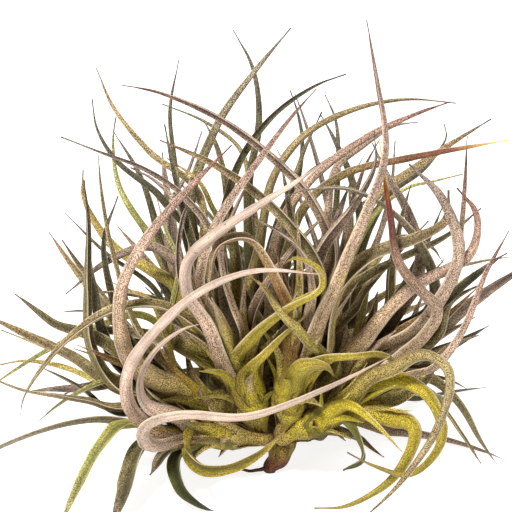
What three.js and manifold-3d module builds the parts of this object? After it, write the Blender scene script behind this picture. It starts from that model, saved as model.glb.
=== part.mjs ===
// An air plant: a clump of thirteen crowns of channelled, tapering leaves on one short branching stem.
// Millimetres, +Z up. The origin is the middle of the small flat spot under the stem, on the surface.
import * as THREE from "three";
import Module from "manifold-3d";

const wasm = await Module();
wasm.setup();

// ---- the front view that the leaves are drawn in ----
// A point is [across, down, forward]: across and down in squares of a sketch, and how far forward of the
// origin the point lies, in mm along the surface.
const SQUARE = 0.4; // mm
const SKETCH_MIDDLE = [256, 256]; // the square that the viewer looks straight at
const FOOT_SQUARE = [270, 471]; // the square over the origin
const VIEW_DISTANCE = 1200;
const VIEW_TILT = THREE.MathUtils.degToRad(22); // the viewer looks down by this
const ACROSS = new THREE.Vector3(1, 0, 0);
const UPWARD = new THREE.Vector3(0, Math.sin(VIEW_TILT), Math.cos(VIEW_TILT));
const TOWARD = new THREE.Vector3(0, -Math.cos(VIEW_TILT), Math.sin(VIEW_TILT));
const FORWARD = new THREE.Vector3(0, -1, 0);

// ---- leaf sizes ----
const TAPER = 2.1; // how late a leaf narrows
const SHEATH_SPREAD = 0.5; // extra width where a leaf wraps its crown, per width
const SHEATH_LENGTH = 9;
const THICKNESS = 0.32; // from groove to keel, per width
const THINNEST = 0.7;
const CHANNEL = 0.18; // depth of the groove along the upper face, per width
const SLIM = 3; // a leaf narrower than this has no groove
const MOST_TWIST = THREE.MathUtils.degToRad(45); // of a leaf's far end about its own line
const STRAIGHT_STEP = 34; // between rings where a leaf is straight
const BEND_STEP = 0.58; // radians that a leaf bends between rings
const FEWEST_RINGS = 5;
const MOST_RINGS = 13;
const BLUNTEST = 0.985; // the part of its length at which a leaf's tip is cut
const ROOT_DEPTH = 0.45; // of the core's radius, where a leaf's root starts inside it
const SHOULDER_STAND = 0.6; // off the core, where a leaf turns away from it
const SHOULDER_RISE = 7; // from root to shoulder along the crown
const SHOULDER_PART = 0.4; // and no more than this part of the way to its route
const LOWEST_ROOT = 0.14; // part of the core's length
const ROOTED_LENGTH = 0.62; // part of the core's length that carries leaves

// ---- leaves that follow a rule ----
const GOLDEN = 0.618034; // of a turn between one leaf and the next
const LEAN = [24, 90].map(THREE.MathUtils.degToRad); // from the crown's axis, for its top and lowest leaf
const RECURVE = [0.7, 1.15]; // of its lean, at a leaf's root and tip
const FILL_REACH = [0.75, 1.1]; // of the fill length
const FILL_WIDTH = [3, 5.2];
const FILL_PARTS = [0.3, 0.6, 0.85, 1]; // of its length, where its route has points
const FILL_SWAY = 0.45; // sideways at the tip, per length
const FILL_LIFT = [0.05, 0.25]; // upward at the tip, per length

// ---- crown and stem sizes ----
const CORE_RADII = [2.8, 5.2, 5.8, 4.6, 1.6]; // evenly from the crown's base to its top
const CORE_SIDES = 6;
const SEAT_GAP = 0.3; // between a crown's base and the branch that carries it
const BRANCH_RADIUS = 2.4;
const BRANCH_SWELL = 1.2; // how much thicker a branch is where it parts from the collar
const BRANCH_END = 5; // the length over which a branch runs in line with its crown
const BRANCH_SIDES = 5;
const BRANCH_STRETCHES = 3;
const STEM_COLOUR = 0x6e5138;
const COLLAR = [278, 436, -4]; // where the branches part
const STEM_SIDES = 8;
const STUB = [[270, 471, 0], [272, 466, 0], [278, 459, 0], [281, 448, -1], [280, 437, -4], [277, 429, -6]];
const STUB_RADII = [2.4, 3.2, 4.4, 5.6, 6.6, 4.8];
const FOOT_RISE = 1.6; // height of the stub's upright foot
const ROOT_TWIG = [[266, 468, 1], [258, 470, 3], [250, 471, 2], [240, 469, 3], [233, 470, 2]];
const ROOT_TWIG_RADII = [0.9, 0.7, 0.6, 0.55, 0.4];
const LOWEST_TWIG = 1; // height of the dried root's middle
const TURN_START = new THREE.Vector3(0.31, 0.17, 0.93); // no rod runs along it

// ---- old sheaths, dry blades that wrap the stub ----
const SHEATH_COUNT = 4;
const SHEATH_WIDTH = 6.5;
const SHEATH_REACH = [0.12, 0.95]; // from the lowest root to the highest tip, per length of the stub
const SHEATH_STEP = 0.06; // between one root and the next
const SHEATH_SUNK = 0.9; // of the root, in the stub
const SHEATH_FLARE = 2.2; // that a tip stands farther out than its root

// ---- clearance between leaves ----
const SAMPLES = 24; // points along a leaf while it is bent clear
const ROUNDS = 160;
const PAIRS_EVERY = 8; // rounds between searches for neighbours
const NEIGHBOUR_REACH = 13;
const LEAF_GAP = 1.2;
const EASE = 13; // a bend spreads this far along a leaf
const FIXED_SPARE = 1; // that the branches' fixed lines are thicker, and the stub's thinner, than they are
const HELD_LENGTH = 11; // from the root, which can't bend
const FREE_LENGTH = 34; // from the root, past which the leaf bends fully
const FREE_ENOUGH = 0.5; // leaves of one crown are kept apart where both are freer than this

// ---- leaf routes ----
// A leaf is [width in mm, how far forward at half its length, and at its tip, its squares from root to tip].
// A crown's leaves run from the lowest on its core to the highest. Its fill leaves follow a rule: how many,
// how long in mm, and how many degrees they turn about the crown, each way from straight away from the
// viewer. Its girth scales its core's radii.
const CROWNS = [
  {
    name: "crown_front_left", colour: 0x9b8676, base: [257, 424, 8], top: [232, 345, 16],
    girth: 1,
    fill: { count: 6, length: 78, turn: 80 },
    leaves: [
      [7.0, 36, 31, [[247, 362], [262, 333], [293, 307], [323, 289], [322, 270], [297, 257], [279, 267]]],
      [4.9, 30, 22, [[205, 328], [165, 307], [115, 311], [75, 335], [42, 370], [24, 398], [21, 415]]],
      [4.4, 27, 31, [[250, 372], [276, 343], [300, 322], [311, 310]]],
      [6.8, 40, 31, [[206, 325], [184, 292], [185, 262], [213, 236], [262, 204], [300, 180], [330, 157]]],
      [5.7, 8, -24, [[228, 300], [222, 250], [201, 208], [150, 171], [100, 152], [61, 137]]],
      [5.5, 28, 8, [[209, 318], [196, 288], [203, 248], [220, 211], [258, 158], [290, 117], [316, 89]]],
      [4.9, 4, -26, [[226, 300], [222, 215], [240, 160], [272, 116], [312, 87], [346, 74]]],
      [4.7, 20, 6, [[230, 300], [223, 248], [237, 208], [258, 165]]],
      [3.6, 12, -6, [[203, 318], [180, 285], [177, 245], [184, 212], [198, 191]]],
      [4.4, 5, -12, [[234, 300], [234, 245], [226, 178], [216, 143], [204, 121]]],
    ],
  },
  {
    name: "crown_front_right", colour: 0xa08a78, base: [284, 421, 10], top: [303, 345, 18],
    girth: 1,
    fill: { count: 6, length: 80, turn: 80 },
    leaves: [
      [3.9, 31, 25, [[300, 385], [316, 358], [352, 349], [385, 359], [405, 372]]],
      [4.7, 30, 34, [[290, 389], [309, 365], [331, 366], [337, 374]]],
      [7.5, 25, 6, [[330, 294], [372, 258], [420, 239], [446, 222], [449, 190]]],
      [7.3, 36, 36, [[295, 325], [273, 280], [246, 240], [220, 246], [211, 278], [207, 306]]],
      [2.6, 38, 35, [[322, 362], [303, 343], [278, 308], [262, 285], [250, 277]]],
      [7.3, 30, 4, [[326, 318], [343, 275], [368, 215], [386, 160], [382, 105], [367, 20]]],
      [5.5, 24, 6, [[317, 300], [321, 268], [300, 232], [256, 190], [214, 163], [160, 140]]],
      [3.6, 14, -2, [[332, 300], [358, 280], [396, 260], [441, 238], [481, 208]]],
      [5.2, 15, -2, [[322, 310], [337, 258], [313, 197], [280, 161], [222, 118], [160, 92], [122, 85]]],
      [6.2, 22, 10, [[312, 292], [325, 243], [354, 201], [374, 164], [374, 131]]],
      [4.4, 29, 30, [[310, 292], [302, 254], [277, 232], [245, 215]]],
    ],
  },
  {
    name: "crown_right", colour: 0x9a8472, base: [307, 416, -2], top: [370, 346, 4],
    girth: 0.85,
    fill: { count: 5, length: 78, turn: 90 },
    leaves: [
      [4.9, 24, 10, [[398, 381], [442, 363], [468, 325], [486, 276], [509, 231]]],
      [7.0, 33, 24, [[395, 371], [431, 332], [441, 311], [428, 297], [401, 264], [391, 218], [381, 140]]],
      [7.3, 20, 2, [[405, 348], [440, 308], [462, 252], [441, 196], [409, 164]]],
      [6.0, 16, 4, [[372, 312], [414, 282], [468, 254], [476, 215], [457, 188]]],
      [4.9, -4, -20, [[392, 320], [420, 262], [407, 212], [388, 178], [372, 143]]],
      [4.9, 4, -6, [[384, 310], [389, 270], [400, 220], [411, 184]]],
      [4.2, 10, 2, [[362, 308], [372, 268], [400, 238], [432, 247], [444, 264]]],
    ],
  },
  {
    name: "crown_left", colour: 0x9a836f, base: [237, 424, 1], top: [161, 376, 8],
    girth: 0.75,
    fill: { count: 5, length: 80, turn: 85 },
    leaves: [
      [5.2, 34, 45, [[127, 420], [100, 448], [76, 492], [60, 525]]],
      [4.9, 24, 15, [[118, 417], [60, 427], [20, 440], [-18, 457]]],
      [4.4, 17, 10, [[120, 408], [60, 398], [20, 390], [-18, 374]]],
      [2.6, 9, 4, [[112, 384], [80, 394], [58, 406], [39, 421]]],
      [4.9, -4, -20, [[118, 390], [75, 360], [30, 337], [-12, 316]]],
      [2.6, 2, -6, [[112, 402], [85, 390], [60, 377], [38, 366]]],
      [6.5, 12, -4, [[113, 383], [88, 348], [85, 285], [87, 225], [84, 180]]],
      [4.7, 4, -10, [[133, 360], [98, 337], [55, 322], [15, 294]]],
      [4.9, 3, -14, [[122, 371], [99, 333], [91, 285], [89, 245]]],
      [6.2, 36, 22, [[137, 372], [122, 332], [124, 288], [150, 237], [196, 182], [232, 145]]],
      [3.1, -8, -20, [[134, 345], [114, 297], [104, 242], [118, 196]]],
      [3.4, 12, 6, [[166, 325], [148, 295], [124, 290], [100, 292]]],
      [3.1, 6, -8, [[172, 320], [180, 262], [166, 228], [157, 198]]],
    ],
  },
  {
    name: "crown_low_left", colour: 0xb29c84, base: [249, 438, 13], top: [189, 430, 20],
    girth: 0.6,
    fill: { count: 2, length: 60, turn: 60 },
    leaves: [
      [5.2, 34, 35, [[176, 455], [180, 484], [197, 502], [214, 512]]],
      [4.9, 41, 46, [[188, 437], [186, 456], [203, 468], [234, 466], [264, 450], [285, 430]]],
      [6.2, 33, 44, [[150, 447], [134, 477], [112, 522]]],
      [5.2, 29, 33, [[168, 450], [156, 463], [150, 470]]],
      [4.9, 50, 42, [[165, 446], [146, 444], [149, 428], [180, 418], [248, 419], [322, 392], [390, 357]]],
      [7.0, 45, 47, [[150, 439], [127, 412], [127, 374], [158, 330], [203, 292], [256, 272], [326, 275]]],
      [4.9, 33, 30, [[180, 413], [150, 403], [142, 382], [157, 351], [184, 329], [204, 322]]],
    ],
  },
  {
    name: "crown_low_right", colour: 0xa9a050, base: [295, 433, 12], top: [350, 403, 18],
    girth: 0.65,
    fill: { count: 2, length: 60, turn: 60 },
    leaves: [
      [4.4, 27, 35, [[336, 417], [355, 436], [362, 458], [343, 470]]],
      [4.9, 33, 44, [[345, 407], [372, 423], [402, 452]]],
      [7.8, 37, 34, [[372, 394], [402, 412], [411, 440], [390, 480], [345, 506], [314, 508]]],
      [7.3, 38, 38, [[385, 386], [424, 401], [440, 435], [410, 472], [372, 464], [347, 452]]],
      [5.2, 44, 45, [[384, 374], [418, 353], [447, 372], [438, 424], [400, 482], [362, 520]]],
    ],
  },
  {
    name: "crown_far_right", colour: 0x94846e, base: [326, 411, -14], top: [410, 352, -22],
    girth: 0.8,
    fill: { count: 4, length: 76, turn: 100 },
    leaves: [
      [4.9, -2, 0, [[425, 384], [453, 402], [480, 442], [498, 466]]],
      [2.6, 2, 5, [[428, 390], [446, 411], [465, 440], [481, 464]]],
      [2.3, -8, 0, [[426, 378], [450, 381], [469, 390]]],
      [3.1, -8, 0, [[432, 325], [450, 299], [483, 280]]],
      [3.1, -18, -12, [[428, 322], [455, 288], [474, 272]]],
      [3.9, -22, -24, [[445, 300], [458, 240], [464, 182], [467, 136]]],
      [5.7, 24, 28, [[434, 305], [419, 249], [389, 212], [347, 191], [304, 191], [283, 197]]],
    ],
  },
  {
    name: "crown_back_left", colour: 0x8a7a66, base: [236, 402, -16], top: [192, 312, -34],
    girth: 1,
    fill: { count: 4, length: 80, turn: 120 },
    leaves: [
      [3.9, -34, -38, [[145, 318], [100, 328], [45, 353], [-15, 390]]],
      [4.7, -30, -38, [[180, 290], [148, 269], [112, 246], [84, 200], [83, 170]]],
      [2.6, -36, -50, [[160, 292], [108, 256], [65, 213]]],
      [4.4, -14, -18, [[188, 265], [150, 247], [108, 262], [66, 294]]],
      [4.9, -44, -60, [[183, 290], [148, 235], [119, 185], [113, 140], [116, 117]]],
      [3.9, -38, -50, [[173, 290], [155, 225], [138, 174], [113, 131]]],
      [4.7, -22, -44, [[200, 250], [168, 201], [117, 161], [97, 130], [92, 99]]],
      [3.9, -16, -40, [[206, 255], [192, 191], [150, 150], [115, 108], [96, 67]]],
      [2.6, -14, -30, [[200, 240], [180, 197], [156, 181], [130, 168]]],
      [3.4, -48, -66, [[188, 240], [176, 160], [171, 110], [179, 60]]],
      [5.5, -14, -30, [[206, 270], [196, 195], [218, 127], [256, 71], [291, 28]]],
      [2.9, -12, -18, [[217, 240], [203, 183], [168, 158]]],
      [2.6, -30, -44, [[172, 260], [170, 208], [188, 172], [202, 131]]],
    ],
  },
  {
    name: "crown_back_middle", colour: 0x8d8068, base: [266, 397, -22], top: [262, 305, -42],
    girth: 1,
    fill: { count: 6, length: 84, turn: 110 },
    leaves: [
      [2.6, -52, -66, [[250, 200], [240, 150], [205, 122], [162, 104]]],
      [6.0, -24, -40, [[265, 235], [272, 182], [303, 137], [352, 110], [405, 99], [456, 103]]],
      [4.4, -18, -32, [[285, 225], [315, 178], [366, 139], [415, 115], [450, 102]]],
      [4.2, -12, -22, [[300, 215], [345, 176], [410, 159], [508, 140]]],
      [3.9, -38, -54, [[247, 240], [248, 182], [258, 120], [252, 68], [233, 30]]],
      [2.6, -56, -76, [[292, 220], [303, 145], [298, 113], [290, 90]]],
      [2.6, -46, -60, [[283, 220], [304, 152], [322, 112]]],
      [2.3, -34, -34, [[280, 215], [306, 175], [330, 157]]],
    ],
  },
  {
    name: "crown_back_right", colour: 0x8b7c66, base: [301, 399, -18], top: [338, 312, -38],
    girth: 1,
    fill: { count: 6, length: 82, turn: 120 },
    leaves: [
      [4.4, -32, -52, [[355, 235], [375, 198], [405, 174], [445, 147], [491, 119]]],
      [3.9, -42, -54, [[362, 240], [388, 194], [424, 167], [446, 137], [444, 124]]],
      [2.3, -28, -34, [[372, 215], [405, 188], [430, 182], [463, 174]]],
      [3.9, -28, -42, [[325, 225], [335, 168], [364, 144], [392, 126], [418, 122]]],
      [3.4, -50, -68, [[332, 230], [337, 160], [335, 120], [325, 95]]],
      [3.9, -44, -60, [[360, 235], [352, 180], [334, 138], [321, 115]]],
      [2.3, -60, -80, [[350, 235], [350, 185], [366, 151]]],
      [2.6, -52, -70, [[378, 240], [391, 190], [395, 141]]],
      [2.9, -20, -18, [[348, 230], [362, 172], [380, 139]]],
    ],
  },
  {
    name: "crown_low_back", colour: 0x8f8150, base: [270, 428, -22], top: [268, 395, -54],
    girth: 1,
    fill: { count: 11, length: 78, turn: 180 },
    leaves: [],
  },
  {
    name: "crown_back_low_left", colour: 0x8c8058, base: [237, 426, -16], top: [186, 396, -44],
    girth: 0.85,
    fill: { count: 7, length: 76, turn: 150 },
    leaves: [
      [3.1, -42, -48, [[110, 387], [62, 367], [22, 361], [0, 365]]],
      [2.3, -46, -56, [[105, 374], [50, 350], [1, 330]]],
      [2.3, -38, -34, [[120, 385], [92, 383], [64, 394]]],
    ],
  },
  {
    name: "crown_back_low_right", colour: 0x8a7c58, base: [305, 427, -16], top: [358, 397, -44],
    girth: 0.85,
    fill: { count: 10, length: 76, turn: 170 },
    leaves: [],
  },
];

// ---- points and curves ----

/** The point in millimetres that the sight line through a square meets, that far forward of the origin. */
function place([across, down, forward]) {
  const middle = new THREE.Vector3()
    .addScaledVector(ACROSS, (SKETCH_MIDDLE[0] - FOOT_SQUARE[0]) * SQUARE)
    .addScaledVector(UPWARD, (FOOT_SQUARE[1] - SKETCH_MIDDLE[1]) * SQUARE);
  const eye = middle.clone().addScaledVector(TOWARD, VIEW_DISTANCE);
  const sight = middle
    .addScaledVector(ACROSS, (across - SKETCH_MIDDLE[0]) * SQUARE)
    .addScaledVector(UPWARD, (SKETCH_MIDDLE[1] - down) * SQUARE)
    .sub(eye);
  return eye.addScaledVector(sight, (forward - eye.dot(FORWARD)) / sight.dot(FORWARD));
}

/** A number from 0 to 1 that looks random and depends only on its two whole numbers. */
function scatter(index, kind) {
  const value = Math.sin(index * 12.9898 + kind * 78.233) * 43758.5453;
  return value - Math.floor(value);
}

function smooth(from, to, value) {
  return THREE.MathUtils.smoothstep(value, from, to);
}

/** Evenly spaced points on the smooth curve through the given ones. */
function evenly(points, count) {
  return new THREE.CatmullRomCurve3(points).getSpacedPoints(count - 1);
}

/** The directions along a line of points, and the face and side directions carried along it untwisted. */
function carried(points, firstFace) {
  const along = points.map((_, i) =>
    points[Math.min(i + 1, points.length - 1)].clone().sub(points[Math.max(i - 1, 0)]).normalize());
  const faces = [];
  let face = firstFace.clone();
  for (const direction of along) {
    face = face.clone().addScaledVector(direction, -face.dot(direction)).normalize();
    faces.push(face);
  }
  return { along, faces };
}

// ---- crowns and their leaves, as lines of points ----

/** The frame of a crown: its base, the direction it grows in and its length. */
function crownAxis(crown) {
  const base = place(crown.base);
  const growth = place(crown.top).sub(base);
  return { base, length: growth.length(), growth: growth.normalize() };
}

function coreRadius(crown, rise) {
  const position = rise * (CORE_RADII.length - 1);
  const below = Math.min(Math.floor(position), CORE_RADII.length - 2);
  return crown.girth * THREE.MathUtils.lerp(CORE_RADII[below], CORE_RADII[below + 1], position - below);
}

/** A leaf's line from the crown's core: it hugs the core to its shoulder and then follows its route. */
function rooted(crown, axis, rise, route) {
  const root = axis.base.clone().addScaledVector(axis.growth, rise * axis.length);
  const outward = route[0].clone().sub(root);
  outward.addScaledVector(axis.growth, -outward.dot(axis.growth)).normalize();
  const radius = coreRadius(crown, rise);
  const start = root.clone().addScaledVector(outward, radius * ROOT_DEPTH);
  const shoulder = root.clone().addScaledVector(outward, radius + SHOULDER_STAND);
  shoulder.addScaledVector(axis.growth, Math.min(SHOULDER_RISE, route[0].distanceTo(root) * SHOULDER_PART));
  return { points: evenly([start, shoulder, ...route], SAMPLES), inward: outward.negate() };
}

/** The leaves with drawn routes. How far forward each lies follows a parabola from its crown to its tip. */
function drawnLeaves(crown) {
  return crown.leaves.map(([width, middle, tip, squares], i) => {
    const first = THREE.MathUtils.lerp(crown.base[2], crown.top[2], i / crown.leaves.length);
    const route = squares.map(([across, down], k) => {
      const along = (k + 1) / squares.length;
      const bow = 4 * middle - 3 * first - tip;
      return place([across, down, first + bow * along + (tip - first - bow) * along * along]);
    });
    return { width, route };
  });
}

/** The leaves that follow the rule: by the golden ratio round the crown, and more upright near its top. */
function fillLeaves(crown, axis) {
  const away = FORWARD.clone().negate();
  away.addScaledVector(axis.growth, -away.dot(axis.growth)).normalize();
  return Array.from({ length: crown.fill.count }, (_, i) => {
    const seed = i + crown.base[0];
    const golden = ((i + 1) * GOLDEN) % 1;
    const turn = THREE.MathUtils.degToRad(crown.fill.turn * (2 * golden - 1));
    const outward = away.clone().applyAxisAngle(axis.growth, turn);
    const sideways = axis.growth.clone().cross(outward);
    const openness = 1 - (i + 0.5) / crown.fill.count; // 1 for the lowest leaf
    const lean = THREE.MathUtils.lerp(...LEAN, openness);
    const reach = crown.fill.length * THREE.MathUtils.lerp(...FILL_REACH, scatter(seed, 1));
    const sway = (scatter(seed, 2) - 0.5) * FILL_SWAY;
    const lift = THREE.MathUtils.lerp(...FILL_LIFT, scatter(seed, 3));
    const root = axis.base.clone().addScaledVector(axis.growth, (1 - openness) * axis.length);
    const route = FILL_PARTS.map((part) => {
      const angle = lean * THREE.MathUtils.lerp(...RECURVE, part);
      return root.clone()
        .addScaledVector(axis.growth, Math.cos(angle) * reach * part)
        .addScaledVector(outward, Math.sin(angle) * reach * part)
        .addScaledVector(sideways, sway * reach * part * part)
        .add(new THREE.Vector3(0, 0, lift * reach * part * part));
    });
    return { width: THREE.MathUtils.lerp(...FILL_WIDTH, scatter(seed, 4)), route };
  });
}

/** A crown's leaves, each a line of points with the size and the turn of its cross-section there. */
function leafLines(crown, crownIndex) {
  const axis = crownAxis(crown);
  const drawn = drawnLeaves(crown);
  const leaves = [...fillLeaves(crown, axis), ...drawn];
  return leaves.map(({ width, route }, i) => {
    const rank = i < crown.fill.count ? i / crown.fill.count : (i - crown.fill.count) / drawn.length;
    const { points, inward } = rooted(crown, axis, LOWEST_ROOT + ROOTED_LENGTH * rank, route);
    const twist = (2 * scatter(i, crownIndex + 5) - 1) * MOST_TWIST;
    const leaf = { crown: crownIndex, width, inward, twist, points, moves: true };
    measure(leaf);
    return leaf;
  });
}

/** Half the width and half the height of a leaf's cross-section, a part of its length along. */
function crossSection(width, length, part) {
  const sheath = SHEATH_SPREAD * Math.exp(-((part * length / SHEATH_LENGTH) ** 2));
  const taper = 1 - part ** TAPER;
  const wide = width * (taper + sheath);
  const thick = Math.max(THICKNESS * width * taper, THINNEST * Math.min(1, 3 * taper));
  return { half: wide / 2, thick, channel: CHANNEL * wide };
}

/** Works out a leaf's length and the frame and half sizes at each of its points. */
function measure(leaf) {
  const { points } = leaf;
  leaf.length = points.reduce((sum, point, i) => (i ? sum + point.distanceTo(points[i - 1]) : 0), 0);
  const { along, faces } = carried(points, leaf.inward);
  leaf.along = along;
  leaf.faces = faces.map((face, i) => {
    const part = i / (points.length - 1);
    return face.clone().applyAxisAngle(along[i], leaf.twist * part * part);
  });
  leaf.sides = leaf.faces.map((face, i) => along[i].clone().cross(face));
  leaf.sections = points.map((_, i) => crossSection(leaf.width, leaf.length, i / (points.length - 1)));
}

// ---- bending clear ----

/** How far a leaf reaches from its line in a direction, at one of its points. */
function reach(line, i, direction) {
  if (line.radius) return line.radius;
  const { half, thick, channel } = line.sections[i];
  const wide = half * direction.dot(line.sides[i]);
  const high = (thick / 2 + channel) * direction.dot(line.faces[i]);
  return Math.hypot(wide, high);
}

/** How freely a point of a line moves: 0 at the root, 1 well along a leaf. */
function freedom(line, i) {
  if (!line.moves) return 0;
  return smooth(HELD_LENGTH, FREE_LENGTH, (i / (SAMPLES - 1)) * line.length);
}

/** Pairs of stretches of different lines that are near each other and of which at least one can move. */
function neighbours(lines) {
  const stretches = lines.flatMap((line, index) => line.points.slice(1).map((point, i) => ({
    index, i, crown: line.crown, middle: point.clone().add(line.points[i]).multiplyScalar(0.5),
    free: freedom(line, i + 1),
  })));
  const pairs = [];
  stretches.forEach((one, a) => {
    for (let b = a + 1; b < stretches.length; b++) {
      const other = stretches[b];
      if (one.index === other.index || one.free + other.free === 0) continue;
      if (one.crown === other.crown && Math.min(one.free, other.free) < FREE_ENOUGH) continue;
      if (one.middle.distanceToSquared(other.middle) < NEIGHBOUR_REACH ** 2) pairs.push([one, other]);
    }
  });
  return pairs;
}

/** Where two straight stretches come nearest: the part along each. */
function nearest(a0, a1, b0, b1) {
  const u = a1.clone().sub(a0);
  const v = b1.clone().sub(b0);
  const w = a0.clone().sub(b0);
  const [uu, uv, vv, uw, vw] = [u.dot(u), u.dot(v), v.dot(v), u.dot(w), v.dot(w)];
  const flat = uu * vv - uv * uv;
  let s = flat > 1e-9 * uu * vv ? THREE.MathUtils.clamp((uv * vw - vv * uw) / flat, 0, 1) : 0.5;
  const t = THREE.MathUtils.clamp((uv * s + vw) / vv, 0, 1);
  s = THREE.MathUtils.clamp((uv * t - uw) / uu, 0, 1);
  return { s, t };
}

/** Bends the leaves, away from their roots, until none comes nearer to another than the leaf gap. */
function bendClear(lines) {
  const kernels = lines.map((line) => {
    const step = line.length / (SAMPLES - 1);
    return Array.from({ length: SAMPLES }, (_, k) => Math.exp(-((k * step / EASE) ** 2)));
  });
  const free = lines.map((line) => line.points.map((_, i) => freedom(line, i)));
  let pairs = [];
  for (let round = 0; round < ROUNDS; round++) {
    if (round % PAIRS_EVERY === 0) {
      lines.filter((line) => line.moves).forEach(measure);
      pairs = neighbours(lines);
    }
    const pushes = lines.map(() => Array.from({ length: SAMPLES }, () => new THREE.Vector3()));
    const hits = lines.map(() => new Float64Array(SAMPLES));
    for (const [one, other] of pairs) {
      const a = lines[one.index];
      const b = lines[other.index];
      const ends = [...a.points.slice(one.i, one.i + 2), ...b.points.slice(other.i, other.i + 2)];
      const { s, t } = nearest(...ends);
      const between = b.points[other.i].clone().lerp(b.points[other.i + 1], t)
        .sub(a.points[one.i].clone().lerp(a.points[one.i + 1], s));
      const apart = between.length();
      if (apart > NEIGHBOUR_REACH) continue;
      const direction = apart > 1e-6 ? between.divideScalar(apart) : TOWARD.clone();
      const i = one.i + Math.round(s);
      const j = other.i + Math.round(t);
      const lacking = reach(a, i, direction) + reach(b, j, direction) + LEAF_GAP - apart;
      if (lacking <= 0) continue;
      const share = free[one.index][i] / (free[one.index][i] + free[other.index][j] + 1e-9);
      pushes[one.index][i].addScaledVector(direction, -lacking * share);
      pushes[other.index][j].addScaledVector(direction, lacking * (1 - share));
      hits[one.index][i] += 1;
      hits[other.index][j] += 1;
    }
    lines.forEach((line, index) => {
      if (line.moves) move(line, pushes[index], hits[index], kernels[index], free[index]);
    });
  }
}

/** Spreads the pushes on a leaf smoothly along it, moves its points and keeps them above the surface. */
function move(line, pushes, hits, kernel, free) {
  const busy = hits.reduce((list, hit, k) => (hit ? [...list, k] : list), []);
  line.points.forEach((point, i) => {
    const shift = new THREE.Vector3();
    let weight = 0;
    for (const k of busy) {
      const near = kernel[Math.abs(i - k)];
      shift.addScaledVector(pushes[k], near);
      weight += near * hits[k];
    }
    point.addScaledVector(shift, free[i] / Math.max(1, weight));
    const floor = reach(line, i, new THREE.Vector3(0, 0, 1));
    if (free[i] > 0) point.z = Math.max(point.z, floor);
  });
}

// ---- solids ----

/** A closed solid between rings of equally many points, which turn left about the way they run. */
function loft(rings) {
  const sides = rings[0].length;
  const last = rings.length - 1;
  const vertices = rings.flat();
  const faces = [];
  for (let r = 0; r < last; r++) {
    for (let k = 0; k < sides; k++) {
      const [a, b] = [r * sides + k, r * sides + ((k + 1) % sides)];
      faces.push(a, b, b + sides, a, b + sides, a + sides);
    }
  }
  for (let k = 1; k < sides - 1; k++) {
    faces.push(0, k + 1, k);
    faces.push(last * sides, last * sides + k, last * sides + k + 1);
  }
  return solid(vertices, faces);
}

function solid(vertices, faces) {
  const mesh = new wasm.Mesh({
    numProp: 3,
    vertProperties: new Float32Array(vertices.flatMap((vertex) => vertex.toArray())),
    triVerts: new Uint32Array(faces),
  });
  mesh.merge();
  return new wasm.Manifold(mesh);
}

/** A round rod along a line of points, with a radius at each. */
function rod(points, radii, sides) {
  const { along, faces } = carried(points, TURN_START.clone().cross(points[1].clone().sub(points[0])));
  return loft(points.map((point, i) => {
    const across = along[i].clone().cross(faces[i]);
    return Array.from({ length: sides }, (_, k) => {
      const turn = (k / sides) * 2 * Math.PI;
      return point.clone()
        .addScaledVector(faces[i], radii[i] * Math.cos(turn))
        .addScaledVector(across, radii[i] * Math.sin(turn));
    });
  }));
}

/** Where a leaf's rings go, in points along it: closer together where it bends. */
function ringPlaces(leaf) {
  const effort = leaf.points.reduce((list, point, i) => {
    if (i === 0) return [0];
    const bend = leaf.along[i].angleTo(leaf.along[i - 1]);
    return [...list, list[i - 1] + point.distanceTo(leaf.points[i - 1]) / STRAIGHT_STEP + bend / BEND_STEP];
  }, []);
  const total = effort[SAMPLES - 1];
  const count = Math.round(THREE.MathUtils.clamp(total, FEWEST_RINGS, MOST_RINGS));
  return Array.from({ length: count }, (_, k) => {
    const goal = (k / (count - 1)) * total;
    const after = Math.max(1, effort.findIndex((value) => value >= goal - 1e-9));
    return after - 1 + (goal - effort[after - 1]) / (effort[after] - effort[after - 1]);
  });
}

/** A leaf's solid: a keel below, a groove above and two edges, run out to a fine tip. */
function leafSolid(leaf) {
  const { points, faces, along, width, length } = leaf;
  const rings = ringPlaces(leaf).map((position) => {
    const i = Math.min(Math.floor(position), SAMPLES - 2);
    const between = position - i;
    const middle = points[i].clone().lerp(points[i + 1], between);
    const face = faces[i].clone().lerp(faces[i + 1], between).normalize();
    const side = along[i].clone().lerp(along[i + 1], between).cross(face).normalize();
    const part = Math.min(position / (SAMPLES - 1), BLUNTEST);
    const { half, thick, channel } = crossSection(width, length, part);
    const corner = (across, high) => {
      const vertex = middle.clone().addScaledVector(side, across).addScaledVector(face, high);
      vertex.z = Math.max(vertex.z, 0);
      return vertex;
    };
    const ring = [
      corner(half, thick / 2 + channel),
      corner(0, -thick / 2),
      corner(-half, thick / 2 + channel),
    ];
    return width < SLIM ? ring : [...ring, corner(0, thick / 2)];
  });
  return loft(rings);
}

/** The one body that is left when loose scraps are dropped and sealed hollows are filled. */
function whole(body) {
  const pieces = body.decompose();
  return pieces.reduce((best, piece) => (piece.volume() > best.volume() ? piece : best));
}

function mesh(body, name, colour) {
  const { vertProperties, triVerts } = body.getMesh();
  const geometry = new THREE.BufferGeometry();
  geometry.setAttribute("position", new THREE.BufferAttribute(new Float32Array(vertProperties), 3));
  geometry.setIndex(new THREE.BufferAttribute(new Uint32Array(triVerts), 1));
  geometry.computeVertexNormals();
  const material = new THREE.MeshStandardMaterial({ color: colour, roughness: 0.75, metalness: 0 });
  const result = new THREE.Mesh(geometry, material);
  result.name = name;
  return result;
}

function core(crown) {
  const { base, growth, length } = crownAxis(crown);
  const points = CORE_RADII.map((_, i) =>
    base.clone().addScaledVector(growth, (i / (CORE_RADII.length - 1)) * length));
  const radii = CORE_RADII.map((radius) => crown.girth * radius);
  return { points, radii, body: rod(points, radii, CORE_SIDES) };
}

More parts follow.
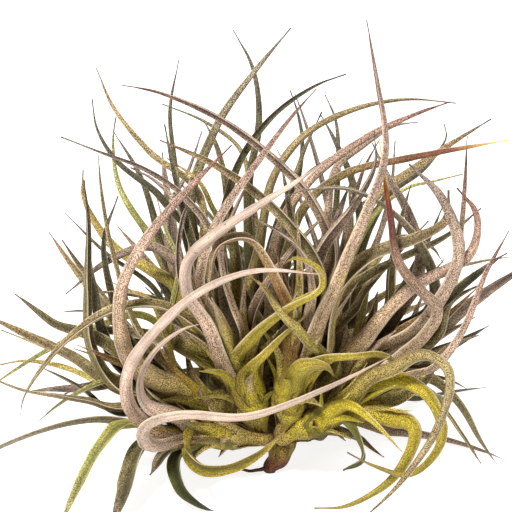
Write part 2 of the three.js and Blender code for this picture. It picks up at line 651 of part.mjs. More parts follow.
/** A crown's core and leaves as one body, cut back to clear the stem. */
function crownMesh(crown, index, leaves, stemRoom) {
  const body = leaves
    .filter((leaf) => leaf.crown === index)
    .reduce((sum, leaf) => sum.add(leafSolid(leaf)), core(crown).body);
  return mesh(whole(body.subtract(stemRoom)), crown.name, crown.colour);
}

// ---- the stem ----

/** The branch from the collar to just short of a crown's base, which it meets square. */
function branchLine(crown) {
  const { base, growth } = crownAxis(crown);
  const end = base.clone().addScaledVector(growth, -SEAT_GAP);
  const start = place(COLLAR);
  const before = end.clone().addScaledVector(growth, -Math.min(BRANCH_END, end.distanceTo(start) / 3));
  const curve = new THREE.CatmullRomCurve3([start, start.clone().lerp(before, 0.5), before, end]);
  return curve.getSpacedPoints(BRANCH_STRETCHES);
}

/** The stub's line, which starts straight up from the origin. */
function stubLine() {
  const line = STUB.map(place);
  line[0].set(0, 0, 0);
  line[1].set(0, 0, FOOT_RISE);
  return line;
}

/** The old blades round the stub, rooted in its surface and flaring a little, with a margin all round. */
function oldSheaths(margin) {
  const stub = new THREE.CatmullRomCurve3(stubLine());
  return Array.from({ length: SHEATH_COUNT }, (_, i) => {
    const turn = 2 * Math.PI * GOLDEN * (i + 1);
    const outward = new THREE.Vector3(Math.cos(turn), Math.sin(turn), 0);
    const low = SHEATH_REACH[0] + SHEATH_STEP * i;
    const points = Array.from({ length: SAMPLES }, (_, k) => {
      const part = k / (SAMPLES - 1);
      const place = THREE.MathUtils.lerp(low, SHEATH_REACH[1], part);
      const position = place * (STUB_RADII.length - 1);
      const below = Math.floor(position);
      const radius = THREE.MathUtils.lerp(STUB_RADII[below], STUB_RADII[below + 1], position - below);
      const stand = radius - SHEATH_SUNK + SHEATH_FLARE * part * part + margin;
      return stub.getPoint(place).addScaledVector(outward, stand);
    });
    const sheath = { points, inward: outward.negate(), twist: 0, width: SHEATH_WIDTH + 2 * margin };
    measure(sheath);
    return leafSolid(sheath);
  });
}

/** The stub with its branches, old sheaths and dried root, all larger all round by a margin. */
function stemBody(margin) {
  const wider = (radii) => radii.map((radius) => radius + margin);
  const twig = ROOT_TWIG.map(place).map((point) => point.setZ(Math.max(point.z, LOWEST_TWIG)));
  const parts = [
    rod(twig, wider(ROOT_TWIG_RADII), BRANCH_SIDES),
    ...oldSheaths(margin),
    ...CROWNS.map((crown) => {
      const line = branchLine(crown);
      const radii = line.map((_, i) => BRANCH_RADIUS + BRANCH_SWELL * (1 - i / (line.length - 1)));
      return rod(line, wider(radii), BRANCH_SIDES);
    }),
  ];
  return whole(parts.reduce((sum, piece) => sum.add(piece), rod(stubLine(), wider(STUB_RADII), STEM_SIDES)));
}

/** The cores and the branches as fixed lines, which the leaves keep clear of. */
function fixedLines() {
  const line = (points, radius, crown) => ({
    crown, radius, moves: false, points: evenly(points, SAMPLES), length: 1,
  });
  return [
    ...CROWNS.map((crown, i) => {
      const { points, radii } = core(crown);
      return line(points, Math.max(...radii), i);
    }),
    ...CROWNS.map((crown) => line(branchLine(crown), BRANCH_RADIUS + FIXED_SPARE, -1)),
    line(stubLine(), Math.max(...STUB_RADII) - FIXED_SPARE, -1),
  ];
}

const leaves = CROWNS.flatMap(leafLines);
bendClear([...leaves, ...fixedLines()]);
leaves.forEach(measure);

const plant = new THREE.Group();
const stemRoom = stemBody(SEAT_GAP);
CROWNS.forEach((crown, index) => plant.add(crownMesh(crown, index, leaves, stemRoom)));
plant.add(mesh(stemBody(0), "stem", STEM_COLOUR));

export default plant;
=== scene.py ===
"""An air plant: thirteen crowns of scurfy, channelled leaves on one short branching stem.

Each leaf is a line of points drawn in a front view. It is rooted in its crown's core, bent clear of its
neighbours by the same rule as the solids, and lofted with a crescent section. Lengths are in millimetres
until a mesh is written, which turns them into metres.
"""

from __future__ import annotations

import logging
import math
from dataclasses import dataclass, field
from enum import Enum
from typing import Any, Sequence

import bpy
import numpy as np
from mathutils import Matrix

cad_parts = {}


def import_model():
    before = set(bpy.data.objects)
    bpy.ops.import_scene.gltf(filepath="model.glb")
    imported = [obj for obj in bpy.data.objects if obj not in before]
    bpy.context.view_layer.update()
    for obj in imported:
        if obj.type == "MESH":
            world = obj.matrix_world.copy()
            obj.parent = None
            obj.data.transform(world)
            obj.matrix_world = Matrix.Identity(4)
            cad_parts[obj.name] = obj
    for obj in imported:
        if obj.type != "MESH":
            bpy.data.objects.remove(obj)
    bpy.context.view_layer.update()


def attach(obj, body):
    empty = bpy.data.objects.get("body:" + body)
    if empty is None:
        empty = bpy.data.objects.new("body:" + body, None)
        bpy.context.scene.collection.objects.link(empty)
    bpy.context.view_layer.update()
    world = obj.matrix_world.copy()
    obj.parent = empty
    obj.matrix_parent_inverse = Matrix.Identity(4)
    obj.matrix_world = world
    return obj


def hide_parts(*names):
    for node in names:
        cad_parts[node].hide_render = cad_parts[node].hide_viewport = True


log = logging.getLogger("air_plant")

Array = np.ndarray
Values = dict[str, Array]
Pair = tuple[float, float]
Triple = tuple[float, float, float]
Material = bpy.types.Material
Socket = bpy.types.NodeSocket

METRES = 0.001
SAMPLES = 24  # points along a leaf while it is bent clear
BODY = "root"
SKEW = (0.31, 0.17, 0.93)  # a direction that no line runs in, to turn sections from


# -------- colours


def linear(colour: Sequence[float]) -> Array:
    """The linear-light values of a colour given as 0 to 255 for a screen."""
    value = np.asarray(colour, float) / 255.0
    return np.where(value <= 0.04045, value / 12.92, ((value + 0.055) / 1.055) ** 2.4)


@dataclass(frozen=True)
class Tint:
    """How a leaf's skin changes from root to tip, and how densely pale scales cover it.

    Attributes:
        stops: parts of the leaf's length and the screen colour there.
        scurf: the scales' density, from 0 to 1, at the root, a quarter and half of the way and at the tip.
    """

    stops: tuple[tuple[float, tuple[int, int, int]], ...]
    scurf: tuple[float, float, float, float]

    def skin(self, part: Array) -> Array:
        """The linear skin colour at parts of a leaf's length.

        Args:
            part: positions from 0 at the root to 1 at the tip, of any shape.

        Returns:
            The colours, with one more axis of three.
        """
        places = [place for place, _ in self.stops]
        colours = np.array([linear(colour) for _, colour in self.stops])
        return np.stack([np.interp(part, places, colours[:, k]) for k in range(3)], axis=-1)

    def cover(self, part: Array) -> Array:
        """The density of the scales at parts of a leaf's length."""
        return np.interp(part, [0.0, 0.25, 0.5, 1.0], self.scurf)


class Dress(Enum):
    """The colourings that the clump's leaves have."""

    PALE = Tint(
        ((0.0, (138, 120, 58)), (0.2, (148, 124, 98)), (0.42, (178, 152, 138)), (0.9, (176, 152, 140)),
         (1.0, (132, 100, 80))),
        (0.45, 0.62, 0.84, 0.84),
    )
    LOOP = Tint(
        ((0.0, (120, 112, 40)), (0.08, (110, 96, 60)), (0.13, (140, 118, 90)), (0.2, (176, 152, 136)),
         (0.5, (186, 162, 146)), (0.9, (176, 150, 132)), (1.0, (138, 104, 82))),
        (0.5, 0.7, 0.86, 0.86),
    )
    TAUPE = Tint(
        ((0.0, (142, 128, 58)), (0.25, (147, 125, 90)), (0.6, (152, 131, 114)), (0.92, (120, 106, 96)),
         (1.0, (76, 70, 64))),
        (0.55, 0.58, 0.6, 0.5),
    )
    ROSE = Tint(
        ((0.0, (144, 128, 56)), (0.25, (150, 127, 94)), (0.6, (159, 136, 119)), (0.85, (141, 114, 102)),
         (0.95, (114, 78, 66)), (1.0, (84, 62, 56))),
        (0.55, 0.58, 0.6, 0.4),
    )
    TAN = Tint(
        ((0.0, (148, 136, 44)), (0.25, (146, 128, 68)), (0.6, (156, 141, 100)), (0.88, (138, 118, 84)),
         (1.0, (92, 70, 58))),
        (0.5, 0.52, 0.55, 0.45),
    )
    OLIVE = Tint(
        ((0.0, (130, 124, 34)), (0.3, (116, 104, 50)), (0.65, (128, 118, 80)), (0.92, (106, 96, 74)),
         (1.0, (74, 66, 54))),
        (0.45, 0.48, 0.5, 0.45),
    )
    SMOKE = Tint(
        ((0.0, (98, 92, 34)), (0.3, (84, 76, 46)), (0.55, (108, 102, 72)), (0.8, (130, 120, 100)),
         (1.0, (98, 90, 80))),
        (0.4, 0.44, 0.5, 0.55),
    )
    DARK = Tint(
        ((0.0, (96, 94, 28)), (0.3, (80, 74, 36)), (0.7, (88, 84, 60)), (0.92, (80, 77, 66)),
         (1.0, (76, 73, 66))),
        (0.4, 0.42, 0.45, 0.5),
    )
    GREEN = Tint(
        ((0.0, (138, 134, 32)), (0.3, (144, 138, 52)), (0.7, (162, 162, 96)), (0.92, (146, 140, 92)),
         (1.0, (92, 86, 66))),
        (0.38, 0.36, 0.36, 0.4),
    )
    LIME = Tint(
        ((0.0, (148, 136, 32)), (0.3, (157, 141, 44)), (0.7, (162, 146, 58)), (0.93, (136, 120, 58)),
         (1.0, (104, 84, 46))),
        (0.44, 0.4, 0.34, 0.3),
    )
    GOLD = Tint(
        ((0.0, (140, 127, 32)), (0.3, (152, 137, 54)), (0.7, (166, 150, 84)), (0.93, (142, 120, 74)),
         (1.0, (94, 76, 54))),
        (0.42, 0.4, 0.4, 0.4),
    )
    MOSS = Tint(
        ((0.0, (106, 110, 26)), (0.4, (90, 95, 34)), (0.75, (72, 76, 38)), (1.0, (62, 58, 40))),
        (0.36, 0.32, 0.32, 0.32),
    )
    EMBER = Tint(
        ((0.0, (148, 130, 64)), (0.22, (146, 124, 90)), (0.5, (152, 130, 108)), (0.7, (140, 112, 94)),
         (0.76, (104, 66, 56)), (0.84, (98, 48, 40)), (0.88, (150, 84, 46)), (0.92, (208, 172, 74)),
         (1.0, (222, 206, 112))),
        (0.5, 0.55, 0.6, 0.2),
    )
    SUNSET = Tint(
        ((0.0, (124, 114, 42)), (0.3, (112, 100, 54)), (0.6, (116, 100, 66)), (0.76, (114, 80, 56)),
         (0.86, (110, 68, 52)), (0.92, (176, 140, 84)), (1.0, (222, 208, 124))),
        (0.45, 0.5, 0.52, 0.2),
    )
    EARTH = Tint(
        ((0.0, (142, 128, 34)), (0.22, (116, 88, 42)), (0.45, (134, 102, 58)), (0.7, (144, 120, 84)),
         (1.0, (120, 98, 74))),
        (0.35, 0.42, 0.5, 0.55),
    )


GREEN_BASE = linear((170, 157, 38))  # the leaves near their roots
STUB_GREEN = linear((136, 116, 46))  # the stem's branches and upper part
STUB_DRY = linear((96, 56, 36))  # the stem's dried foot
DRY_BROWN_AND_EDGE_SHADE = linear((84, 58, 34))  # a dry brown for the dried feet of the leaves' bases, and for their dark edges, which are partly dried margins and partly painted contact shade


# -------- the front view and its drawn leaves


@dataclass(frozen=True)
class FrontView:
    """The front view that the leaves are drawn in: squares of a sketch, seen from a viewer's eye.

    A drawn point is [across, down, forward]: across and down in squares, and how far forward of the
    origin it lies, along the surface.

    The viewer looks straight at the sketch's middle, and the origin is at its foot.
    """

    square: float = 0.4
    middle: Pair = (256.0, 256.0)
    foot: Pair = (270.0, 471.0)
    distance: float = 1200.0
    tilt: float = math.radians(22.0)

    @property
    def upward(self) -> Array:
        """The direction that is up in the view."""
        return np.array([0.0, math.sin(self.tilt), math.cos(self.tilt)])

    @property
    def toward(self) -> Array:
        """The direction from the sketch to the viewer."""
        return np.array([0.0, -math.cos(self.tilt), math.sin(self.tilt)])

    def centre(self) -> Array:
        """The point of the sketch that the viewer looks straight at."""
        right = np.array([1.0, 0.0, 0.0]) * (self.middle[0] - self.foot[0])
        return (right + self.upward * (self.foot[1] - self.middle[1])) * self.square

    def eye(self) -> Array:
        """Where the viewer's eye is."""
        return self.centre() + self.toward * self.distance

    def place(self, drawn: Any) -> Array:
        """The points where the sight lines meet the upright planes that far forward of the origin.

        Args:
            drawn: rows of [across, down, forward].

        Returns:
            Rows of x, y and z.
        """
        across, down, forward = np.atleast_2d(np.asarray(drawn, float)).T
        right = ((across - self.middle[0]) * self.square)[:, None] * np.array([1.0, 0.0, 0.0])
        up = ((self.middle[1] - down) * self.square)[:, None] * self.upward
        eye = self.eye()
        sight = self.centre() + right + up - eye
        return eye + sight * ((-forward - eye[1]) / sight[:, 1])[:, None]


VIEW = FrontView()


@dataclass(frozen=True)
class Route:
    """A drawn leaf.

    Attributes:
        width: where it is broadest.
        middle: how far forward it is half way.
        tip: how far forward its tip is.
        squares: its squares from root to tip, across and down in turn.
        dress: its colouring.
        thins: the part of its length past which it is only half as wide.
        broad: how much broader it looks than its solid.
    """

    width: float
    middle: float
    tip: float
    squares: tuple[float, ...]
    dress: Dress
    thins: float = 1.5
    broad: float = 1.0


@dataclass(frozen=True)
class Fill:
    """The leaves of a crown that follow a rule.

    Attributes:
        count: how many.
        length: theirs, before it is varied.
        turn: degrees about the crown that they keep to on each side of straight away from the viewer.
    """

    count: int
    length: float
    turn: float


@dataclass(frozen=True)
class CrownPlan:
    """A crown: its node, its core's ends and girth, its leaves and how far up they are green.

    The core's ends are drawn points, and the girth compares its radii with the usual ones.
    """

    node: str
    base: Triple
    top: Triple
    girth: float
    fill: Fill
    green: float
    routes: tuple[Route, ...] = ()
    fill_dresses: tuple[Dress, ...] = (Dress.TAUPE, Dress.OLIVE, Dress.TAN, Dress.DARK)


CROWNS: tuple[CrownPlan, ...] = (
    CrownPlan("crown_front_left", (257, 424, 8), (232, 345, 16), 1.0, Fill(6, 78, 80), 26, (
        Route(7.0, 36, 31, (247, 362, 262, 333, 293, 307, 323, 289, 322, 270, 297, 257, 279, 267),
              Dress.LIME, thins=0.68, broad=1.2),
        Route(4.9, 30, 22, (205, 328, 165, 307, 115, 311, 75, 335, 42, 370, 24, 398, 21, 415), Dress.TAN),
        Route(4.4, 27, 31, (250, 372, 276, 343, 300, 322, 311, 310), Dress.LIME, broad=1.4),
        Route(6.8, 40, 31, (206, 325, 184, 292, 185, 262, 213, 236, 262, 204, 300, 180, 330, 157),
              Dress.PALE, broad=0.82),
        Route(5.7, 8, -24, (228, 300, 222, 250, 201, 208, 150, 171, 100, 152, 61, 137), Dress.TAUPE,
              broad=0.66),
        Route(5.5, 28, 8, (209, 318, 196, 288, 203, 248, 220, 211, 258, 158, 290, 117, 316, 89), Dress.ROSE),
        Route(4.9, 4, -26, (226, 300, 222, 215, 240, 160, 272, 116, 312, 87, 346, 74), Dress.DARK,
              broad=0.8),
        Route(4.7, 20, 6, (230, 300, 223, 248, 237, 208, 258, 165), Dress.ROSE),
        Route(3.6, 12, -6, (203, 318, 180, 285, 177, 245, 184, 212, 198, 191), Dress.TAUPE),
        Route(4.4, 5, -12, (234, 300, 234, 245, 226, 178, 216, 143, 204, 121), Dress.OLIVE),
    )),
    CrownPlan("crown_front_right", (284, 421, 10), (303, 345, 18), 1.0, Fill(6, 80, 80), 28, (
        Route(3.9, 31, 25, (300, 385, 316, 358, 352, 349, 385, 359, 405, 372), Dress.LIME, broad=1.15),
        Route(4.7, 30, 34, (290, 389, 309, 365, 331, 366, 337, 374), Dress.LIME, broad=1.1),
        Route(7.5, 25, 6, (330, 294, 372, 258, 420, 239, 446, 222, 449, 190), Dress.TAN),
        Route(7.3, 36, 36, (295, 325, 273, 280, 246, 240, 220, 246, 211, 278, 207, 306), Dress.EARTH),
        Route(2.6, 38, 35, (322, 362, 303, 343, 278, 308, 262, 285, 250, 277), Dress.GOLD, broad=1.25),
        Route(7.3, 30, 4, (326, 318, 343, 275, 368, 215, 386, 160, 382, 105, 367, 20), Dress.ROSE),
        Route(5.5, 24, 6, (317, 300, 321, 268, 300, 232, 256, 190, 214, 163, 160, 140), Dress.TAN),
        Route(3.6, 14, -2, (332, 300, 358, 280, 396, 260, 441, 238, 481, 208), Dress.OLIVE),
        Route(5.2, 15, -2, (322, 310, 337, 258, 313, 197, 280, 161, 222, 118, 160, 92, 122, 85), Dress.ROSE),
        Route(6.2, 22, 10, (312, 292, 325, 243, 354, 201, 374, 164, 374, 131), Dress.TAUPE),
        Route(4.4, 29, 30, (310, 292, 302, 254, 277, 232, 245, 215), Dress.TAUPE),
    )),
    CrownPlan("crown_right", (307, 416, -2), (370, 346, 4), 0.85, Fill(5, 78, 90), 16, (
        Route(4.9, 24, 10, (398, 381, 442, 363, 468, 325, 486, 276, 509, 231), Dress.ROSE),
        Route(7.0, 33, 24, (395, 371, 431, 332, 441, 311, 428, 297, 401, 264, 391, 218, 381, 140),
              Dress.EMBER, broad=0.8),
        Route(7.3, 20, 2, (405, 348, 440, 308, 462, 252, 441, 196, 409, 164), Dress.TAUPE),
        Route(6.0, 16, 4, (372, 312, 414, 282, 468, 254, 476, 215, 457, 188), Dress.ROSE),
        Route(4.9, -4, -20, (392, 320, 420, 262, 407, 212, 388, 178, 372, 143), Dress.TAUPE),
        Route(4.9, 4, -6, (384, 310, 389, 270, 400, 220, 411, 184), Dress.OLIVE),
        Route(4.2, 10, 2, (362, 308, 372, 268, 400, 238, 432, 247, 444, 264), Dress.OLIVE),
    )),
    CrownPlan("crown_left", (237, 424, 1), (161, 376, 8), 0.75, Fill(5, 80, 85), 14, (
        Route(5.2, 34, 45, (127, 420, 100, 448, 76, 492, 60, 525), Dress.GREEN, broad=1.1),
        Route(4.9, 24, 15, (118, 417, 60, 427, 20, 440, -18, 457), Dress.SMOKE, broad=1.7),
        Route(4.4, 17, 10, (120, 408, 60, 398, 20, 390, -18, 374), Dress.TAN, broad=1.5),
        Route(2.6, 9, 4, (112, 384, 80, 394, 58, 406, 39, 421), Dress.GREEN),
        Route(4.9, -4, -20, (118, 390, 75, 360, 30, 337, -12, 316), Dress.TAN, broad=1.05),
        Route(2.6, 2, -6, (112, 402, 85, 390, 60, 377, 38, 366), Dress.DARK),
        Route(6.5, 12, -4, (113, 383, 88, 348, 85, 285, 87, 225, 84, 180), Dress.OLIVE),
        Route(4.7, 4, -10, (133, 360, 98, 337, 55, 322, 15, 294), Dress.OLIVE),
        Route(4.9, 3, -14, (122, 371, 99, 333, 91, 285, 89, 245), Dress.DARK),
        Route(6.2, 36, 22, (137, 372, 122, 332, 124, 288, 150, 237, 196, 182, 232, 145), Dress.ROSE,
              broad=0.9),
        Route(3.1, -8, -20, (134, 345, 114, 297, 104, 242, 118, 196), Dress.DARK),
        Route(3.4, 12, 6, (166, 325, 148, 295, 124, 290, 100, 292), Dress.GOLD),
        Route(3.1, 6, -8, (172, 320, 180, 262, 166, 228, 157, 198), Dress.GREEN),
    )),
    CrownPlan("crown_low_left", (249, 438, 13), (189, 430, 20), 0.6, Fill(2, 60, 60), 12, (
        Route(5.2, 34, 35, (176, 455, 180, 484, 197, 502, 214, 512), Dress.MOSS),
        Route(4.9, 41, 46, (188, 437, 186, 456, 203, 468, 234, 466, 264, 450, 285, 430), Dress.LIME),
        Route(6.2, 33, 44, (150, 447, 134, 477, 112, 522), Dress.OLIVE, broad=1.35),
        Route(5.2, 29, 33, (168, 450, 156, 463, 150, 470), Dress.OLIVE, broad=1.3),
        Route(4.9, 50, 42, (165, 446, 146, 444, 149, 428, 180, 418, 248, 419, 322, 392, 390, 357),
              Dress.LOOP),
        Route(7.0, 45, 47, (150, 439, 127, 412, 127, 374, 158, 330, 203, 292, 256, 272, 326, 275),
              Dress.PALE, broad=0.76),
        Route(4.9, 33, 30, (180, 413, 150, 403, 142, 382, 157, 351, 184, 329, 204, 322), Dress.PALE,
              broad=1.05),
    )),
    CrownPlan("crown_low_right", (295, 433, 12), (350, 403, 18), 0.65, Fill(2, 60, 60), 34, (
        Route(4.4, 27, 35, (336, 417, 355, 436, 362, 458, 343, 470), Dress.MOSS, broad=1.4),
        Route(4.9, 33, 44, (345, 407, 372, 423, 402, 452), Dress.LIME, broad=0.72),
        Route(7.8, 37, 34, (372, 394, 402, 412, 411, 440, 390, 480, 345, 506, 314, 508), Dress.LIME,
              broad=0.72),
        Route(7.3, 38, 38, (385, 386, 424, 401, 440, 435, 410, 472, 372, 464, 347, 452), Dress.LIME,
              broad=0.72),
        Route(5.2, 44, 45, (384, 374, 418, 353, 447, 372, 438, 424, 400, 482, 362, 520), Dress.TAN,
              broad=0.85),
    )),
    CrownPlan("crown_far_right", (326, 411, -14), (410, 352, -22), 0.8, Fill(4, 76, 100), 12, (
        Route(4.9, -2, 0, (425, 384, 453, 402, 480, 442, 498, 466), Dress.OLIVE, broad=1.45),
        Route(2.6, 2, 5, (428, 390, 446, 411, 465, 440, 481, 464), Dress.GOLD, broad=1.3),
        Route(2.3, -8, 0, (426, 378, 450, 381, 469, 390), Dress.TAUPE),
        Route(3.1, -8, 0, (432, 325, 450, 299, 483, 280), Dress.OLIVE),
        Route(3.1, -18, -12, (428, 322, 455, 288, 474, 272), Dress.GREEN),
        Route(3.9, -22, -24, (445, 300, 458, 240, 464, 182, 467, 136), Dress.ROSE),
        Route(5.7, 24, 28, (434, 305, 419, 249, 389, 212, 347, 191, 304, 191, 283, 197), Dress.SMOKE),
    )),
    CrownPlan("crown_back_left", (236, 402, -16), (192, 312, -34), 1.0, Fill(4, 80, 120), 14, (
        Route(3.9, -34, -38, (145, 318, 100, 328, 45, 353, -15, 390), Dress.GREEN),
        Route(4.7, -30, -38, (180, 290, 148, 269, 112, 246, 84, 200, 83, 170), Dress.GOLD),
        Route(2.6, -36, -50, (160, 292, 108, 256, 65, 213), Dress.DARK),
        Route(4.4, -14, -18, (188, 265, 150, 247, 108, 262, 66, 294), Dress.TAUPE),
        Route(4.9, -44, -60, (183, 290, 148, 235, 119, 185, 113, 140, 116, 117), Dress.GREEN, broad=0.8),
        Route(3.9, -38, -50, (173, 290, 155, 225, 138, 174, 113, 131), Dress.DARK),
        Route(4.7, -22, -44, (200, 250, 168, 201, 117, 161, 97, 130, 92, 99), Dress.DARK, broad=0.8),
        Route(3.9, -16, -40, (206, 255, 192, 191, 150, 150, 115, 108, 96, 67), Dress.TAN),
        Route(2.6, -14, -30, (200, 240, 180, 197, 156, 181, 130, 168), Dress.TAUPE),
        Route(3.4, -48, -66, (188, 240, 176, 160, 171, 110, 179, 60), Dress.DARK),
        Route(5.5, -14, -30, (206, 270, 196, 195, 218, 127, 256, 71, 291, 28), Dress.SMOKE, broad=0.9),
        Route(2.9, -12, -18, (217, 240, 203, 183, 168, 158), Dress.GOLD),
        Route(2.6, -30, -44, (172, 260, 170, 208, 188, 172, 202, 131), Dress.TAUPE),
    )),
    CrownPlan("crown_back_middle", (266, 397, -22), (262, 305, -42), 1.0, Fill(6, 84, 110), 14, (
        Route(2.6, -52, -66, (250, 200, 240, 150, 205, 122, 162, 104), Dress.OLIVE),
        Route(6.0, -24, -40, (265, 235, 272, 182, 303, 137, 352, 110, 405, 99, 456, 103), Dress.TAN,
              broad=0.72),
        Route(4.4, -18, -32, (285, 225, 315, 178, 366, 139, 415, 115, 450, 102), Dress.ROSE),
        Route(4.2, -12, -22, (300, 215, 345, 176, 410, 159, 508, 140), Dress.SUNSET),
        Route(3.9, -38, -54, (247, 240, 248, 182, 258, 120, 252, 68, 233, 30), Dress.DARK),
        Route(2.6, -56, -76, (292, 220, 303, 145, 298, 113, 290, 90), Dress.DARK),
        Route(2.6, -46, -60, (283, 220, 304, 152, 322, 112), Dress.OLIVE),
        Route(2.3, -34, -34, (280, 215, 306, 175, 330, 157), Dress.DARK),
    )),
    CrownPlan("crown_back_right", (301, 399, -18), (338, 312, -38), 1.0, Fill(6, 82, 120), 14, (
        Route(4.4, -32, -52, (355, 235, 375, 198, 405, 174, 445, 147, 491, 119), Dress.TAN),
        Route(3.9, -42, -54, (362, 240, 388, 194, 424, 167, 446, 137, 444, 124), Dress.DARK),
        Route(2.3, -28, -34, (372, 215, 405, 188, 430, 182, 463, 174), Dress.GREEN),
        Route(3.9, -28, -42, (325, 225, 335, 168, 364, 144, 392, 126, 418, 122), Dress.TAUPE),
        Route(3.4, -50, -68, (332, 230, 337, 160, 335, 120, 325, 95), Dress.DARK),
        Route(3.9, -44, -60, (360, 235, 352, 180, 334, 138, 321, 115), Dress.DARK),
        Route(2.3, -60, -80, (350, 235, 350, 185, 366, 151), Dress.OLIVE),
        Route(2.6, -52, -70, (378, 240, 391, 190, 395, 141), Dress.TAUPE),
        Route(2.9, -20, -18, (348, 230, 362, 172, 380, 139), Dress.ROSE),
    )),
    CrownPlan("crown_low_back", (270, 428, -22), (268, 395, -54), 1.0, Fill(11, 78, 180), 20),
    CrownPlan("crown_back_low_left", (237, 426, -16), (186, 396, -44), 0.85, Fill(7, 76, 150), 18, (
        Route(3.1, -42, -48, (110, 387, 62, 367, 22, 361, 0, 365), Dress.GOLD),
        Route(2.3, -46, -56, (105, 374, 50, 350, 1, 330), Dress.GREEN),
        Route(2.3, -38, -34, (120, 385, 92, 383, 64, 394), Dress.MOSS),
    )),
    CrownPlan("crown_back_low_right", (305, 427, -16), (358, 397, -44), 0.85, Fill(10, 76, 170), 18),
)


# -------- small tools for arrays


def scatter(index: float, kind: float) -> float:
    """A number from 0 to 1 that looks random and depends only on its two arguments."""
    value = math.sin(index * 12.9898 + kind * 78.233) * 43758.5453
    return value - math.floor(value)


def mix(low: Any, high: Any, part: Any) -> Any:
    """The value that part of the way from low to high."""
    return low + (high - low) * part


def smooth(low: float, high: float, value: Any) -> Array:
    """0 below low, 1 above high and a smooth cubic step between."""
    step = np.clip((np.asarray(value, float) - low) / (high - low), 0.0, 1.0)
    return step * step * (3.0 - 2.0 * step)


def unit(vectors: Array) -> Array:
    """The vectors of the last axis at length one."""
    return vectors / np.maximum(np.linalg.norm(vectors, axis=-1, keepdims=True), 1e-12)


def dot(one: Array, other: Array) -> Array:
    """The dot product over the last axis."""
    return np.einsum("...k,...k->...", one, other)


def even_route(points: Array, count: int) -> Array:
    """Evenly spaced points on the centripetal Catmull-Rom curve through the given ones.

    Between two points the curve is the cubic that has their places and, as slopes, the centripetal
    differences with the points on each side. The line is carried on straight past its two ends.

    Args:
        points: rows of x, y and z.
        count: how many points to return.

    Returns:
        The points, evenly spaced along the curve.
    """
    last = len(points) - 1
    padded = np.vstack([2 * points[0] - points[1], points, 2 * points[-1] - points[-2]])

    def at(parts: Array) -> Array:
        """The curve at parts of its course, each stretch between two points counting the same.

        Args:
            parts: from 0 at its start to 1 at its end.

        Returns:
            Rows of x, y and z.
        """
        stretch = np.minimum((parts * last).astype(int), last - 1)
        w = (parts * last - stretch)[:, None]
        p0, p1, p2, p3 = (padded[stretch + k] for k in range(4))
        d0, d1, d2 = (
            np.sqrt(np.linalg.norm(b - a, axis=1))[:, None] for a, b in ((p0, p1), (p1, p2), (p2, p3))
        )
        start = ((p1 - p0) / d0 - (p2 - p0) / (d0 + d1) + (p2 - p1) / d1) * d1
        end = ((p2 - p1) / d1 - (p3 - p1) / (d1 + d2) + (p3 - p2) / d2) * d1
        bend = -3 * p1 + 3 * p2 - 2 * start - end
        return p1 + start * w + bend * w**2 + (2 * p1 - 2 * p2 + start + end) * w**3

    fine = np.linspace(0.0, 1.0, 201)
    steps = np.linalg.norm(np.diff(at(fine), axis=0), axis=1)
    lengths = np.concatenate([[0.0], np.cumsum(steps)])
    return at(np.interp(np.linspace(0.0, lengths[-1], count), lengths, fine))


def directions(points: Array) -> Array:
    """The directions along lines of points, by the differences between each point's neighbours.

    Args:
        points: an array of lines, points and x, y, z.

    Returns:
        Unit vectors of the same shape.
    """
    ahead = np.concatenate([points[:, 1:], points[:, -1:]], axis=1)
    behind = np.concatenate([points[:, :1], points[:, :-1]], axis=1)
    return unit(ahead - behind)


def carried(along: Array, first: Array) -> Array:
    """Carries a face direction along lines untwisted.

    At each point the direction before it loses its part along the line and is made unit length again.

    Args:
        along: the directions of the lines, by line, point and axis.
        first: a face direction for each line.

    Returns:
        The face directions, by line, point and axis.
    """
    faces = np.empty_like(along)
    face = first
    for station in range(along.shape[1]):
        way = along[:, station]
        face = unit(face - way * dot(face, way)[:, None])
        faces[:, station] = face
    return faces


# -------- leaves as lines


@dataclass(frozen=True)
class LeafForm:
    """The sizes that every leaf's cross-section follows, and where it leaves its crown's core."""

    taper: float = 2.1
    sheath_spread: float = 0.5
    sheath_length: float = 9.0
    thickness: float = 0.32
    thinnest: float = 0.7
    channel: float = 0.18
    most_twist: float = math.radians(45.0)
    root_depth: float = 0.45
    shoulder_stand: float = 0.6
    shoulder_rise: float = 7.0
    shoulder_part: float = 0.4
    lowest_root: float = 0.14
    rooted_length: float = 0.62

    def section(self, width: Any, length: Any, part: Any) -> tuple[Array, Array, Array]:
        """Half the width, the thickness and the groove's depth, at a part of a leaf's length.

        The width narrows by a power of the part and widens by a bell curve where it wraps the crown.

        Args:
            width: the leaf's width.
            length: the leaf's length.
            part: from 0 at the root to 1 at the tip.

        Returns:
            The three sizes, of the arguments' common shape.
        """
        taper = 1.0 - np.asarray(part, float) ** self.taper
        sheath = self.sheath_spread * np.exp(-((part * length / self.sheath_length) ** 2))
        wide = width * (taper + sheath)
        least = self.thinnest * np.minimum(1.0, 3.0 * taper)
        return wide / 2, np.maximum(self.thickness * width * taper, least), self.channel * wide


FORM = LeafForm()


CORE_RADII = (2.8, 5.2, 5.8, 4.6, 1.6)  # evenly from a crown's base to its top


@dataclass(frozen=True)
class Core:
    """A crown's growing core: its base, the direction it grows in, its length and its radii."""

    base: Array
    growth: Array
    length: float
    radii: tuple[float, ...]

    @staticmethod
    def of(plan: CrownPlan) -> Core:
        """The core of a crown.

        Args:
            plan: the crown's plan.

        Returns:
            Its core.
        """
        base, top = VIEW.place([plan.base, plan.top])
        radii = tuple(plan.girth * radius for radius in CORE_RADII)
        return Core(base, unit(top - base), float(np.linalg.norm(top - base)), radii)

    def radius(self, rise: Any) -> Array:
        """The core's radius at a part of its length."""
        return np.interp(rise, np.linspace(0.0, 1.0, len(self.radii)), self.radii)

    def at(self, rise: Any) -> Array:
        """The points on the core's axis at parts of its length."""
        return self.base + np.multiply.outer(np.asarray(rise, float) * self.length, self.growth)


